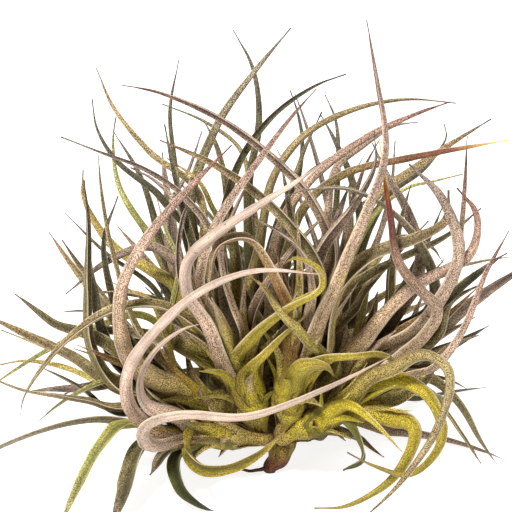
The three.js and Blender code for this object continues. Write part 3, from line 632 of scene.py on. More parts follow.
@dataclass(frozen=True)
class FillRule:
    """The rule for the leaves that aren't drawn: by the golden ratio, more upright near the top."""

    golden: float = 0.618034
    lean: Pair = (math.radians(24.0), math.radians(90.0))
    recurve: Pair = (0.7, 1.15)
    reach: Pair = (0.75, 1.1)
    width: Pair = (3.0, 5.2)
    sway: float = 0.45
    lift: Pair = (0.05, 0.25)
    parts: tuple[float, ...] = (0.3, 0.6, 0.85, 1.0)

    def leaves(self, plan: CrownPlan, core: Core) -> list[tuple[Any, ...]]:
        """The width, route, dress, thinning and breadth of each leaf that follows the rule.

        Args:
            plan: the crown's plan.
            core: its core.

        Returns:
            A list with one entry for each leaf, from the lowest up.
        """
        away = np.array([0.0, 1.0, 0.0])
        away = unit(away - core.growth * (away @ core.growth))
        part = np.array(self.parts)
        found = []
        for i in range(plan.fill.count):
            seed = i + plan.base[0]
            turn = math.radians(plan.fill.turn * (2 * ((i + 1) * self.golden % 1) - 1))
            outward = away * math.cos(turn) + np.cross(core.growth, away) * math.sin(turn)
            sideways = np.cross(core.growth, outward)
            openness = 1 - (i + 0.5) / plan.fill.count
            reach = plan.fill.length * mix(*self.reach, scatter(seed, 1))
            sway = (scatter(seed, 2) - 0.5) * self.sway
            lift = mix(*self.lift, scatter(seed, 3))
            angle = mix(*self.lean, openness) * mix(*self.recurve, part)
            far = reach * part
            route = core.at(1 - openness) + np.multiply.outer(np.cos(angle) * far, core.growth)
            route = route + np.multiply.outer(np.sin(angle) * far, outward)
            route = route + np.multiply.outer(sway * far * part, sideways)
            route[:, 2] += lift * far * part
            dress = plan.fill_dresses[int(scatter(seed, 6) * len(plan.fill_dresses))]
            found.append((mix(*self.width, scatter(seed, 4)), route, dress, Route.thins, Route.broad))
        return found


def drawn_leaves(plan: CrownPlan) -> list[tuple[Any, ...]]:
    """The width, route, dress, thinning and breadth of each drawn leaf.

    How far forward a leaf lies follows a parabola through its crown, its middle and its tip.

    Args:
        plan: the crown's plan.

    Returns:
        A list with one entry for each leaf, from the lowest up.
    """
    found = []
    for i, route in enumerate(plan.routes):
        first = mix(plan.base[2], plan.top[2], i / len(plan.routes))
        squares = np.array(route.squares, float).reshape(-1, 2)
        part = np.arange(1, len(squares) + 1) / len(squares)
        bow = 4 * route.middle - 3 * first - route.tip
        forward = first + bow * part + (route.tip - first - bow) * part**2
        placed = VIEW.place(np.column_stack([squares, forward]))
        found.append((route.width, placed, route.dress, route.thins, route.broad))
    return found


@dataclass
class Lines:
    """All the leaves of the clump, and the fixed lines that they keep clear of, as arrays.

    Attributes:
        points: by line, sample and axis.
        crown: the crown's index, or -1 for the stem's branches.
        width: 0 for a fixed line.
        radius: 0 for a leaf.
        inward: the face direction at the root.
        twist: of the far end.
        dress: of each leaf.
        rise: how far up its core each leaf is rooted.
        thins: each leaf's, as in its route.
        broad: the same.
    """

    points: Array
    crown: Array
    width: Array
    radius: Array
    inward: Array
    twist: Array
    dress: list[Dress]
    rise: Array
    thins: Array
    broad: Array
    length: Array = field(init=False)
    along: Array = field(init=False)
    faces: Array = field(init=False)
    sides: Array = field(init=False)

    def __post_init__(self) -> None:
        """Measures the lines as they start."""
        self.measure()

    @classmethod
    def plain(cls, points: Array, inward: Array, width: float, dress: list[Dress],
              rise: Any = 0.0) -> Lines:
        """Leaves of one width that aren't twisted.

        Args:
            points: by line, sample and axis.
            inward: the face directions at the roots.
            width: their width.
            dress: of each.
            rise: how far up its core each is rooted.

        Returns:
            Their lines.
        """
        none = np.zeros(len(points))
        return cls(points=points, crown=none, width=none + width, radius=none, inward=inward, twist=none,
                   dress=dress, rise=none + rise, thins=none + Route.thins, broad=none + Route.broad)

    @property
    def leaves(self) -> int:
        """How many of the lines are leaves; they come first."""
        return len(self.dress)

    def measure(self) -> None:
        """Works out the lengths and the frames of the lines as they lie."""
        parts = np.linspace(0.0, 1.0, SAMPLES)
        self.length = np.linalg.norm(np.diff(self.points, axis=1), axis=2).sum(axis=1)
        self.along = directions(self.points)
        plain = carried(self.along, self.inward)
        turn = (self.twist[:, None] * parts**2)[..., None]
        self.faces = plain * np.cos(turn) + np.cross(self.along, plain) * np.sin(turn)
        self.sides = np.cross(self.along, self.faces)

    def reach(self, line: Array, sample: Array, direction: Array) -> Array:
        """How far lines reach from their middles in given directions, at given samples.

        A leaf's reach is that of an ellipse with its half width and its height, a fixed line's its radius.

        Args:
            line: the lines' indices.
            sample: the samples' indices.
            direction: a unit direction for each.

        Returns:
            The distances.
        """
        part = sample / (SAMPLES - 1)
        half, thick, channel = FORM.section(self.width[line], self.length[line], part)
        wide = half * dot(direction, self.sides[line, sample])
        high = (thick / 2 + channel) * dot(direction, self.faces[line, sample])
        return np.where(self.radius[line] > 0, self.radius[line], np.hypot(wide, high))


# -------- the stem's lines


@dataclass(frozen=True)
class StemPlan:
    """The stub that rests on the surface, its branches to the crowns, its old sheaths and its dried root."""

    node: str = "stem"
    collar: Triple = (278, 436, -4)
    branch_radius: float = 2.4
    branch_swell: float = 1.2
    branch_end: float = 5.0
    seat_gap: float = 0.3
    fixed_spare: float = 1.0
    stub: tuple[Triple, ...] = (
        (270, 471, 0), (272, 466, 0), (278, 459, 0), (281, 448, -1), (280, 437, -4), (277, 429, -6),
    )
    stub_radii: tuple[float, ...] = (2.4, 3.2, 4.4, 5.6, 6.6, 4.8)
    foot_rise: float = 1.6
    root: tuple[Triple, ...] = (
        (266, 468, 1), (258, 470, 3), (250, 471, 2), (240, 469, 3), (233, 470, 2),
    )
    root_radii: tuple[float, ...] = (0.9, 0.7, 0.6, 0.55, 0.4)
    lowest_root: float = 1.0
    sheaths: int = 4
    sheath_width: float = 6.5
    sheath_reach: Pair = (0.12, 0.95)
    sheath_step: float = 0.06
    sheath_sunk: float = 0.9
    sheath_flare: float = 2.2

    def branch(self, core: Core) -> Array:
        """The line from the collar to just short of a core's base, which it meets square.

        Args:
            core: the crown's core.

        Returns:
            The points that the branch's curve passes through.
        """
        end = core.base - core.growth * self.seat_gap
        start = VIEW.place(self.collar)[0]
        before = end - core.growth * min(self.branch_end, float(np.linalg.norm(end - start)) / 3)
        return np.array([start, mix(start, before, 0.5), before, end])

    def stub_line(self) -> Array:
        """The stub's line, which starts straight up from the origin.

        Returns:
            The points that its curve passes through.
        """
        line = VIEW.place(self.stub)
        line[0] = 0.0
        line[1] = (0.0, 0.0, self.foot_rise)
        return line

    def root_line(self) -> Array:
        """The dried root's line, which keeps above the surface.

        Returns:
            The points that its curve passes through.
        """
        line = VIEW.place(self.root)
        line[:, 2] = np.maximum(line[:, 2], self.lowest_root)
        return line

    def sheath_lines(self, count: int, turned: float = 0.0, longer: float = 0.0) -> Lines:
        """The old blades round the stub as lines, each rooted in its surface and flaring a little.

        Args:
            count: how many.
            turned: by how much they are turned about the stub, in radians.
            longer: by how much of the stub's length they end higher.

        Returns:
            Their lines.
        """
        index = np.arange(count)[:, None]
        part = np.linspace(0.0, 1.0, SAMPLES)[None]
        low = self.sheath_reach[0] + self.sheath_step * (index % self.sheaths)
        place = mix(low, self.sheath_reach[1] + longer, part)
        radius = np.interp(place, np.linspace(0, 1, len(self.stub_radii)), self.stub_radii)
        turn = 2 * np.pi * FillRule.golden * (index[:, 0] + 1) + turned
        outward = np.stack([np.cos(turn), np.sin(turn), 0 * turn], axis=1)
        stand = radius - self.sheath_sunk + self.sheath_flare * part**2
        middle = curved(self.stub_line()[None], place.ravel() * (len(self.stub) - 1))[0]
        points = middle.reshape(count, SAMPLES, 3) + stand[..., None] * outward[:, None]
        return Lines.plain(points, -outward, self.sheath_width, [Dress.EARTH] * count)


STEM = StemPlan()


def leaf_lines(index: int, plan: CrownPlan) -> list[dict[str, Any]]:
    """A crown's leaves as lines: each hugs the core from its root to its shoulder, then follows its route.

    Args:
        index: the crown's place in the list of crowns.
        plan: the crown's plan.

    Returns:
        For each leaf the values that Lines holds, by name.
    """
    core = Core.of(plan)
    fill = FillRule().leaves(plan, core)
    drawn = drawn_leaves(plan)
    found = []
    for i, (width, route, dress, thins, broad) in enumerate([*fill, *drawn]):
        rank = i / len(fill) if i < len(fill) else (i - len(fill)) / len(drawn)
        rise = FORM.lowest_root + FORM.rooted_length * rank
        root = core.at(rise)
        outward = route[0] - root
        outward = unit(outward - core.growth * (outward @ core.growth))
        radius = float(core.radius(rise))
        start = root + outward * radius * FORM.root_depth
        climb = min(FORM.shoulder_rise, float(np.linalg.norm(route[0] - root)) * FORM.shoulder_part)
        shoulder = root + outward * (radius + FORM.shoulder_stand) + core.growth * climb
        found.append({
            "points": even_route(np.vstack([start, shoulder, route]), SAMPLES),
            "crown": index, "width": width, "inward": -outward, "dress": dress, "rise": rise,
            "thins": thins, "broad": broad, "twist": (2 * scatter(i, index + 5) - 1) * FORM.most_twist,
        })
    return found


def fixed_lines() -> list[tuple[Array, float, int]]:
    """The lines of the cores, the branches and the stub, which leaves keep clear of.

    Returns:
        For each its points, its radius and its crown, or -1.
    """
    cores = [Core.of(plan) for plan in CROWNS]
    stations = np.linspace(0.0, 1.0, len(cores[0].radii))
    found = [(core.at(stations), max(core.radii), i) for i, core in enumerate(cores)]
    for core in cores:
        branch = even_route(STEM.branch(core), 4)
        found.append((branch, STEM.branch_radius + STEM.fixed_spare, -1))
    found.append((STEM.stub_line(), max(STEM.stub_radii) - STEM.fixed_spare, -1))
    return [(even_route(points, SAMPLES), radius, crown) for points, radius, crown in found]


def clump_lines() -> Lines:
    """The clump before it is bent.

    Returns:
        All its leaves and fixed lines, as they are drawn.
    """
    leaves = [leaf for i, plan in enumerate(CROWNS) for leaf in leaf_lines(i, plan)]
    fixed = fixed_lines()
    none = np.zeros(len(fixed))
    return Lines(
        points=np.array([leaf["points"] for leaf in leaves] + [points for points, _, _ in fixed]),
        crown=np.array([leaf["crown"] for leaf in leaves] + [crown for _, _, crown in fixed]),
        width=np.concatenate([[leaf["width"] for leaf in leaves], none]),
        radius=np.concatenate([np.zeros(len(leaves)), [radius for _, radius, _ in fixed]]),
        inward=np.array([leaf["inward"] for leaf in leaves] + [SKEW] * len(fixed)),
        twist=np.concatenate([[leaf["twist"] for leaf in leaves], none]),
        dress=[leaf["dress"] for leaf in leaves],
        rise=np.array([leaf["rise"] for leaf in leaves]),
        thins=np.array([leaf["thins"] for leaf in leaves]),
        broad=np.array([leaf["broad"] for leaf in leaves]),
    )


# -------- bending clear


@dataclass(frozen=True)
class Clearance:
    """The rule that bends leaves, away from their roots, until none comes nearer than the gap.

    Attributes:
        rounds: how often every leaf is moved.
        pairs_every: rounds between searches for neighbours.
        neighbour: how near two stretches are for the search to keep them.
        gap: the least distance between two leaves' surfaces.
        ease: how far along a leaf a bend spreads.
        held: the length from the root that can't bend.
        free: the length from the root past which a leaf bends fully.
        stiff: how freely both of two leaves of one crown must move before they push each other.
    """

    rounds: int = 160
    pairs_every: int = 8
    neighbour: float = 13.0
    gap: float = 1.2
    ease: float = 13.0
    held: float = 11.0
    free: float = 34.0
    stiff: float = 0.5

    def freedom(self, lines: Lines) -> Array:
        """How freely each sample moves: 0 at the root, 1 well along a leaf, 0 on a fixed line."""
        along = np.linspace(0.0, 1.0, SAMPLES)[None, :] * lines.length[:, None]
        return smooth(self.held, self.free, along) * (lines.radius == 0)[:, None]

    def neighbours(self, lines: Lines) -> tuple[Array, ...]:
        """Pairs of stretches of different lines that are near each other and of which one can move.

        Args:
            lines: the lines of the clump.

        Returns:
            The first line and sample of each pair, then the second line and sample.
        """
        middle = ((lines.points[:, 1:] + lines.points[:, :-1]) / 2).reshape(-1, 3)
        free = self.freedom(lines)[:, 1:].ravel()
        line = np.repeat(np.arange(len(lines.points)), SAMPLES - 1)
        sample = np.tile(np.arange(SAMPLES - 1), len(lines.points))
        square = (middle**2).sum(axis=1)
        apart = square[:, None] + square[None, :] - 2 * middle @ middle.T
        one, other = np.nonzero(np.triu(apart < self.neighbour**2, 1))
        same_crown = lines.crown[line[one]] == lines.crown[line[other]]
        kept = (line[one] != line[other]) & (free[one] + free[other] > 0)
        kept &= ~(same_crown & (np.minimum(free[one], free[other]) < self.stiff))
        one, other = one[kept], other[kept]
        return line[one], sample[one], line[other], sample[other]

    def contacts(self, lines: Lines, pairs: tuple[Array, ...]) -> tuple[Array, ...]:
        """Where pairs of stretches come nearer than they may.

        Two straight stretches come nearest where the line between them is square to both, or at an end.

        Args:
            lines: the lines of the clump.
            pairs: the first line and sample of each pair, then the second line and sample.

        Returns:
            For each contact its two lines and samples, the direction from one to the other, and the lack.
        """
        a, i, b, j = pairs
        a0, b0 = lines.points[a, i], lines.points[b, j]
        u, v, w = lines.points[a, i + 1] - a0, lines.points[b, j + 1] - b0, a0 - b0
        uu, uv, vv, uw, vw = dot(u, u), dot(u, v), dot(v, v), dot(u, w), dot(v, w)
        flat = uu * vv - uv * uv
        crossing = flat > 1e-9 * uu * vv
        s = np.clip(np.where(crossing, (uv * vw - vv * uw) / np.where(crossing, flat, 1.0), 0.5), 0.0, 1.0)
        t = np.clip((uv * s + vw) / vv, 0.0, 1.0)
        s = np.clip((uv * t - uw) / uu, 0.0, 1.0)
        between = b0 + v * t[:, None] - a0 - u * s[:, None]
        apart = np.linalg.norm(between, axis=1)
        near = (apart > 1e-6) & (apart <= self.neighbour)
        a, i, b, j, s, t, between, apart = (
            x[near] for x in (a, i + np.floor(s + 0.5).astype(int), b, j + np.floor(t + 0.5).astype(int),
                              s, t, between, apart)
        )
        direction = between / apart[:, None]
        lack = lines.reach(a, i, direction) + lines.reach(b, j, direction) + self.gap - apart
        hit = lack > 0
        return a[hit], i[hit], b[hit], j[hit], direction[hit], lack[hit]

    def bend(self, lines: Lines) -> None:
        """Bends the leaves clear, in place.

        In each round the pushes at the contacts are spread along each leaf by a bell curve and averaged.

        Args:
            lines: the lines of the clump.
        """
        count = len(lines.points)
        free = self.freedom(lines)
        step = (lines.length / (SAMPLES - 1))[:, None, None]
        between = np.abs(np.subtract.outer(np.arange(SAMPLES), np.arange(SAMPLES)))[None]
        kernel = np.exp(-((between * step / self.ease) ** 2))
        upright = np.zeros((count * SAMPLES, 3)) + (0.0, 0.0, 1.0)
        every_line = np.repeat(np.arange(count), SAMPLES)
        every_sample = np.tile(np.arange(SAMPLES), count)
        pairs: tuple[Array, ...] = ()
        for turn in range(self.rounds):
            if turn % self.pairs_every == 0:
                lines.measure()
                pairs = self.neighbours(lines)
                floor = lines.reach(every_line, every_sample, upright).reshape(count, SAMPLES)
            a, i, b, j, direction, lack = self.contacts(lines, pairs)
            share = free[a, i] / (free[a, i] + free[b, j] + 1e-9)
            where = np.concatenate([a * SAMPLES + i, b * SAMPLES + j])
            back, forth = (lack * share)[:, None], (lack * (1 - share))[:, None]
            push = np.concatenate([-direction * back, direction * forth])
            total = [np.bincount(where, push[:, k], count * SAMPLES) for k in range(3)]
            pushes = np.stack(total, axis=1).reshape(count, SAMPLES, 3)
            hits = np.bincount(where, minlength=count * SAMPLES).reshape(count, SAMPLES, 1)
            shift = (kernel @ pushes) * free[..., None] / np.maximum(1.0, kernel @ hits)
            lines.points = lines.points + shift
            low = (free > 0) & (lines.points[..., 2] < floor)
            lines.points[..., 2] = np.where(low, floor, lines.points[..., 2])
        lines.measure()


# -------- meshes


class MeshWriter:
    """Gathers closed tubes, each given as a grid of points, into one mesh object with attributes."""

    def __init__(self, name: str) -> None:
        """Starts an empty mesh of that name.

        Args:
            name: the object's.
        """
        self.name = name
        self.points: list[Array] = []
        self.polygons: list[Array] = []
        self.uvs: list[Array] = []
        self.attributes: dict[str, list[Array]] = {}
        self.count = 0

    def add_tube(self, grid: Array, attributes: Values, uv: Array) -> None:
        """Adds a tube whose rings turn left about the way they run, closed at both ends.

        Args:
            grid: points by ring and place round it, in millimetres.
            attributes: values by ring and place, with an axis of four for a colour.
            uv: by ring and place with one more place, where the seam closes.
        """
        rings, around = grid.shape[:2]
        ring, place = np.meshgrid(np.arange(rings - 1), np.arange(around), indexing="ij")
        beside = (place + 1) % around
        quads = np.stack([ring * around + place, ring * around + beside,
                          (ring + 1) * around + beside, (ring + 1) * around + place], axis=-1)
        corner = np.stack([uv[ring, place], uv[ring, place + 1],
                           uv[ring + 1, place + 1], uv[ring + 1, place]], axis=-2)
        self.polygons.append(quads.reshape(-1, 4) + self.count)
        self.uvs.append(corner.reshape(-1, 2))
        for cap, at in ((np.arange(around)[::-1], 0), (np.arange(around), rings - 1)):
            self.polygons.append((cap + at * around)[None] + self.count)
            self.uvs.append(uv[at, cap])
        self.points.append(grid.reshape(-1, 3))
        self.count += rings * around
        for key, values in attributes.items():
            flat = values.reshape(rings * around, -1)
            self.attributes.setdefault(key, []).append(flat)

    def write(self, material: Material) -> bpy.types.Object:
        """Makes the object, smooth shaded, in metres.

        Args:
            material: its only material.

        Returns:
            The new object, linked to the scene.
        """
        mesh = bpy.data.meshes.new(self.name)
        points = np.concatenate(self.points) * METRES
        sizes = np.concatenate([np.full(len(block), block.shape[1]) for block in self.polygons])
        corners = np.concatenate([block.ravel() for block in self.polygons])
        starts = np.concatenate([[0], np.cumsum(sizes)[:-1]])
        mesh.vertices.add(len(points))
        mesh.loops.add(len(corners))
        mesh.polygons.add(len(sizes))
        for items, key, values, kind in (
            (mesh.vertices, "co", points.ravel(), np.float32),
            (mesh.loops, "vertex_index", corners, np.int32),
            (mesh.polygons, "loop_start", starts, np.int32),
            (mesh.polygons, "loop_total", sizes, np.int32),
            (mesh.polygons, "use_smooth", np.ones(len(sizes)), bool),
        ):
            items.foreach_set(key, values.astype(kind))
        mesh.update(calc_edges=True)
        layer = mesh.uv_layers.new(name="along_leaf")
        layer.data.foreach_set("uv", np.concatenate(self.uvs).ravel().astype(np.float32))
        for key, blocks in self.attributes.items():
            values = np.concatenate(blocks)
            kind, slot = ("FLOAT_COLOR", "color") if values.shape[1] == 4 else ("FLOAT", "value")
            attribute = mesh.attributes.new(key, kind, "POINT")
            attribute.data.foreach_set(slot, values.ravel().astype(np.float32))
        mesh.materials.append(material)
        mesh.validate()
        piece = bpy.data.objects.new(self.name, mesh)
        bpy.context.scene.collection.objects.link(piece)
        return piece


def between(values: Array, places: Array) -> Array:
    """Values between those of the second axis, on straight lines.

    Args:
        values: by line, sample and axis.
        places: positions along the second axis.

    Returns:
        By line, place and axis.
    """
    low = np.minimum(places.astype(int), values.shape[1] - 2)
    part = (places - low)[None, :, None]
    return values[:, low] * (1 - part) + values[:, low + 1] * part


def curved(points: Array, places: Array) -> Array:
    """Points between those of the second axis, on the uniform Catmull-Rom cubic of the nearest four.

    Args:
        points: by line, sample and axis.
        places: positions along the second axis.

    Returns:
        By line, place and axis.
    """
    ends = [2 * points[:, :1] - points[:, 1:2], points, 2 * points[:, -1:] - points[:, -2:-1]]
    padded = np.concatenate(ends, axis=1)
    low = np.minimum(places.astype(int), points.shape[1] - 2)
    t = (places - low)[None, :, None]
    p0, p1, p2, p3 = (padded[:, low + k] for k in range(4))
    return 0.5 * (2 * p1 + (p2 - p0) * t + (2 * p0 - 5 * p1 + 4 * p2 - p3) * t**2
                  + (3 * p1 - p0 - 3 * p2 + p3) * t**3)


@dataclass(frozen=True)
class LeafLoft:
    """Turns the lines of leaves into skins with a crescent section.

    Attributes:
        narrow: how narrow it is against its flat width, because its edges roll up.
        fuller: the power that its width narrows by, more for a broad leaf.
        roll: how much more the edges rise.
        slender: the thickness, against its solid's.
        flare: the extra width of its base, per width, and the length over which it fades.
        wrap_end: the length from the root over which the base stops wrapping the core.
        wrap_start: the part of that length over which it wraps fully.
        wrap_width: the arc that it wraps to each side, per width.
        most_wrap: the most of it, in radians.
        sheath_edge: how much thinner its edges are.
        lift: how far they stand off the layer below.
        layers: how much farther out the lowest base lies than the highest.
        tail: how far below its root a base begins, and in how many sections.
        emerges: the length over which it comes out of the core, per tail.
        first_arc: the part of its arc that it starts with.
        narrowest: the radius that it starts with.
        bluntest: the part of its length at which a leaf stops narrowing.
        ripples: the heights, per width, and the lengths of two waves in its width.
    """

    rings: int = 72
    around: int = 18
    narrow: float = 0.93
    fuller: float = 5.2
    finest: float = 0.3
    roll: float = 2.1
    slender: float = 0.95
    flare: Pair = (1.25, 36.0)
    wrap_end: float = 14.0
    wrap_start: float = 0.3
    wrap_width: float = 1.0
    most_wrap: float = 1.1
    sheath_thick: float = 0.8
    sheath_edge: float = 0.6
    lift: float = 0.9
    layers: float = 1.5
    tail: tuple[float, int] = (9.0, 8)
    emerges: float = 1.6
    first_arc: float = 0.35
    narrowest: float = 1.4
    bluntest: float = 0.972
    ripples: tuple[Pair, Pair] = ((0.035, 3.7), (0.025, 1.9))

    def skins(self, lines: Lines, chosen: Array, core: Core | None) -> Values:
        """The skins of some leaves.

        A section is a bent lens: across it runs half times the cosine of an angle, and its height is the
        edges' rise times the squared cosine plus half the thickness times the sine. Near the root it
        turns into a thin arc about the core's axis, which begins a little below the root.

        Args:
            lines: the lines of the clump.
            chosen: the indices of the leaves.
            core: the core of their crown, or nothing for leaves that wrap none.

        Returns:
            The grids of points, and for each point the part of the length, the angle's sine and cosine,
            and the distance along the leaf.
        """
        places = np.linspace(0.0, SAMPLES - 1.0, self.rings)
        middle = curved(lines.points[chosen], places)
        face = unit(between(lines.faces[chosen], places))
        side = unit(np.cross(between(lines.along[chosen], places), face))
        part = np.minimum(places / (SAMPLES - 1), self.bluntest)[None, :]
        away = part * lines.length[chosen, None]
        across, height = self.blade(lines, chosen, part, away)
        grid = middle[:, :, None] + side[:, :, None] * across[..., None]
        grid = grid + face[:, :, None] * height[..., None]
        if core is not None:
            below = np.linspace(-self.tail[0], 0.0, self.tail[1], endpoint=False)
            start = middle[:, :1] + np.multiply.outer(below, core.growth)[None]
            away = np.concatenate([np.broadcast_to(below, (len(chosen), len(below))), away], axis=1)
            part = np.maximum(away / lines.length[chosen, None], 0.0)
            wrapped = self.sheath(lines, chosen, core, np.concatenate([start, middle], axis=1), away)
            wrap = (1 - smooth(self.wrap_start * self.wrap_end, self.wrap_end, away))[..., None, None]
            grid = mix(np.concatenate([wrapped[:, : len(below)], grid], axis=1), wrapped, wrap)
        grid[..., 2] = np.maximum(grid[..., 2], 0.0)
        shape = grid.shape[:3]
        return {
            "grid": grid,
            "part": np.broadcast_to(part[..., None], shape),
            "along": np.broadcast_to(away[..., None], shape),
            "sin": np.broadcast_to(self.angles()[1], shape),
            "cos": np.broadcast_to(self.angles()[0], shape),
        }

    def angles(self) -> tuple[Array, Array]:
        """The cosines and sines of the angles round a section."""
        angle = -2 * np.pi * np.arange(self.around) / self.around
        return np.cos(angle), np.sin(angle)

    def blade(self, lines: Lines, chosen: Array, part: Array, away: Array) -> tuple[Array, ...]:
        """How far across and how high a free blade's section lies, by leaf, ring and place.

        Args:
            lines: the lines of the clump.
            chosen: the indices of the leaves.
            part: the part of the length at each ring.
            away: the distance from the root at each ring, by leaf.

        Returns:
            The distances across and the heights.
        """
        cos, sin = self.angles()
        half, thick, channel = FORM.section(lines.width[chosen, None], lines.length[chosen, None], part)
        power = self.fuller * lines.broad[chosen, None] ** 2
        fuller = (1 - part**power) / (1 - part**FORM.taper + 1e-6)
        spread = 1 + self.flare[0] * np.exp(-((away / self.flare[1]) ** 2))
        thins = lines.thins[chosen, None]
        thin = 1 - 0.5 * smooth(thins - 0.04, thins + 0.05, part)
        wide = self.narrow * lines.broad[chosen, None] * self.ripple(chosen, away) * fuller * spread * thin
        thick = self.slender * thick
        height = (thick / 2 + channel * self.roll)[..., None] * cos**2 + (thick / 2)[..., None] * sin
        return np.maximum(half * wide, self.finest)[..., None] * cos, height

    def sheath(self, lines: Lines, chosen: Array, core: Core, middle: Array, away: Array) -> Array:
        """The bases' sections as arcs about the core's axis, thin at their edges and sunk at their start.

        Args:
            lines: the lines of the clump.
            chosen: the indices of the leaves.
            core: the core that they wrap.
            middle: the middle of each ring, by leaf.
            away: its distance from the root.

        Returns:
            Points by leaf, ring and place.
        """
        cos, sin = self.angles()
        rise = dot(middle - core.base, core.growth)
        rank = (lines.rise[chosen, None] - FORM.lowest_root) / FORM.rooted_length
        emerged = np.clip((away + self.tail[0]) / (self.emerges * self.tail[0]), 0.0, 1.0)
        full = core.radius(rise / core.length) + FORM.shoulder_stand + self.layers * (1 - rank)
        radius = mix(self.narrowest, full, emerged**0.8)[..., None]
        arc = np.minimum(self.wrap_width * lines.width[chosen, None, None] / radius, self.most_wrap) * cos
        arc = arc * mix(self.first_arc, 1.0, emerged)[..., None]
        radius = radius - self.sheath_thick / 2 * sin * (1 - self.sheath_edge * cos**2)
        radius = radius + self.lift * emerged[..., None] * cos**6
        outward = -lines.inward[chosen, None, None]
        sideways = np.cross(core.growth, lines.inward[chosen])[:, None, None]
        axis = core.base + rise[..., None] * core.growth
        ring = outward * (radius * np.cos(arc))[..., None] + sideways * (radius * np.sin(arc))[..., None]
        return axis[:, :, None] + ring

    def ripple(self, chosen: Array, away: Array) -> Array:
        """A slight unevenness of the width: one plus two sine waves along the leaf, each with its phase.

        Args:
            chosen: the indices of the leaves.
            away: the distance from the root at each ring, by leaf.

        Returns:
            What the width is multiplied by, by leaf and ring.
        """
        (high, long), (low, short) = self.ripples
        phase = np.array([scatter(int(i), 9) for i in chosen])[:, None] * 2 * np.pi
        return 1 + high * np.sin(away / long + phase) + low * np.sin(away / short + 2.3 * phase)


# -------- finishes


NOISE = (0.3, 0.7)  # the levels that most of a noise lies between


class Graph:
    """A material's node graph, with short calls for adding and joining nodes."""

    def __init__(self, name: str) -> None:
        """Makes a material with an empty graph.

        Args:
            name: the material's name.
        """
        self.material = bpy.data.materials.new(name)
        self.material.use_nodes = True
        self.tree = self.material.node_tree
        self.tree.nodes.clear()

    def add(self, kind: str, inputs: dict[Any, Any] | None = None, **settings: Any) -> bpy.types.Node:
        """Adds a node.

        Args:
            kind: the node's type without its common prefix.
            inputs: values or sockets for its inputs, by name or number.
            **settings: the node's own settings.

        Returns:
            The node.
        """
        node = self.tree.nodes.new("ShaderNode" + kind)
        for key, value in settings.items():
            setattr(node, key, value)
        for key, value in (inputs or {}).items():
            if isinstance(value, Socket):
                self.tree.links.new(value, node.inputs[key])
            else:
                node.inputs[key].default_value = value
        return node

    def math(self, operation: str, one: Any, other: Any) -> Socket:
        """The result of a sum of two values or sockets."""
        return self.add("Math", {0: one, 1: other}, operation=operation).outputs[0]

    def toned(self, colour: Any, tone: Any) -> Socket:
        """The colour multiplied by a tone."""
        return self.blend(1.0, colour, self.grey(tone), "MULTIPLY")

    def blend(self, factor: Any, one: Any, other: Any, mode: str = "MIX") -> Socket:
        """The mixture of two colours."""
        node = self.add("Mix", {0: factor, 6: one, 7: other}, data_type="RGBA", blend_type=mode)
        return node.outputs[2]

    def step(self, value: Any, low: float, high: float, to_low: float = 0.0, to_high: float = 1.0) -> Any:
        """The value carried smoothly from one range to another."""
        inputs = {"Value": value, "From Min": low, "From Max": high, "To Min": to_low, "To Max": to_high}
        return self.add("MapRange", inputs, interpolation_type="SMOOTHSTEP").outputs[0]

    def grey(self, value: Socket) -> Socket:
        """A grey of a value, as a colour."""
        return self.add("CombineColor", {0: value, 1: value, 2: value}).outputs[0]

    def attribute(self, name: str, colour: bool = False) -> Socket:
        """A named attribute of the piece, as a colour or as a value."""
        node = self.add("Attribute", attribute_name=name)
        return node.outputs["Color" if colour else "Fac"]


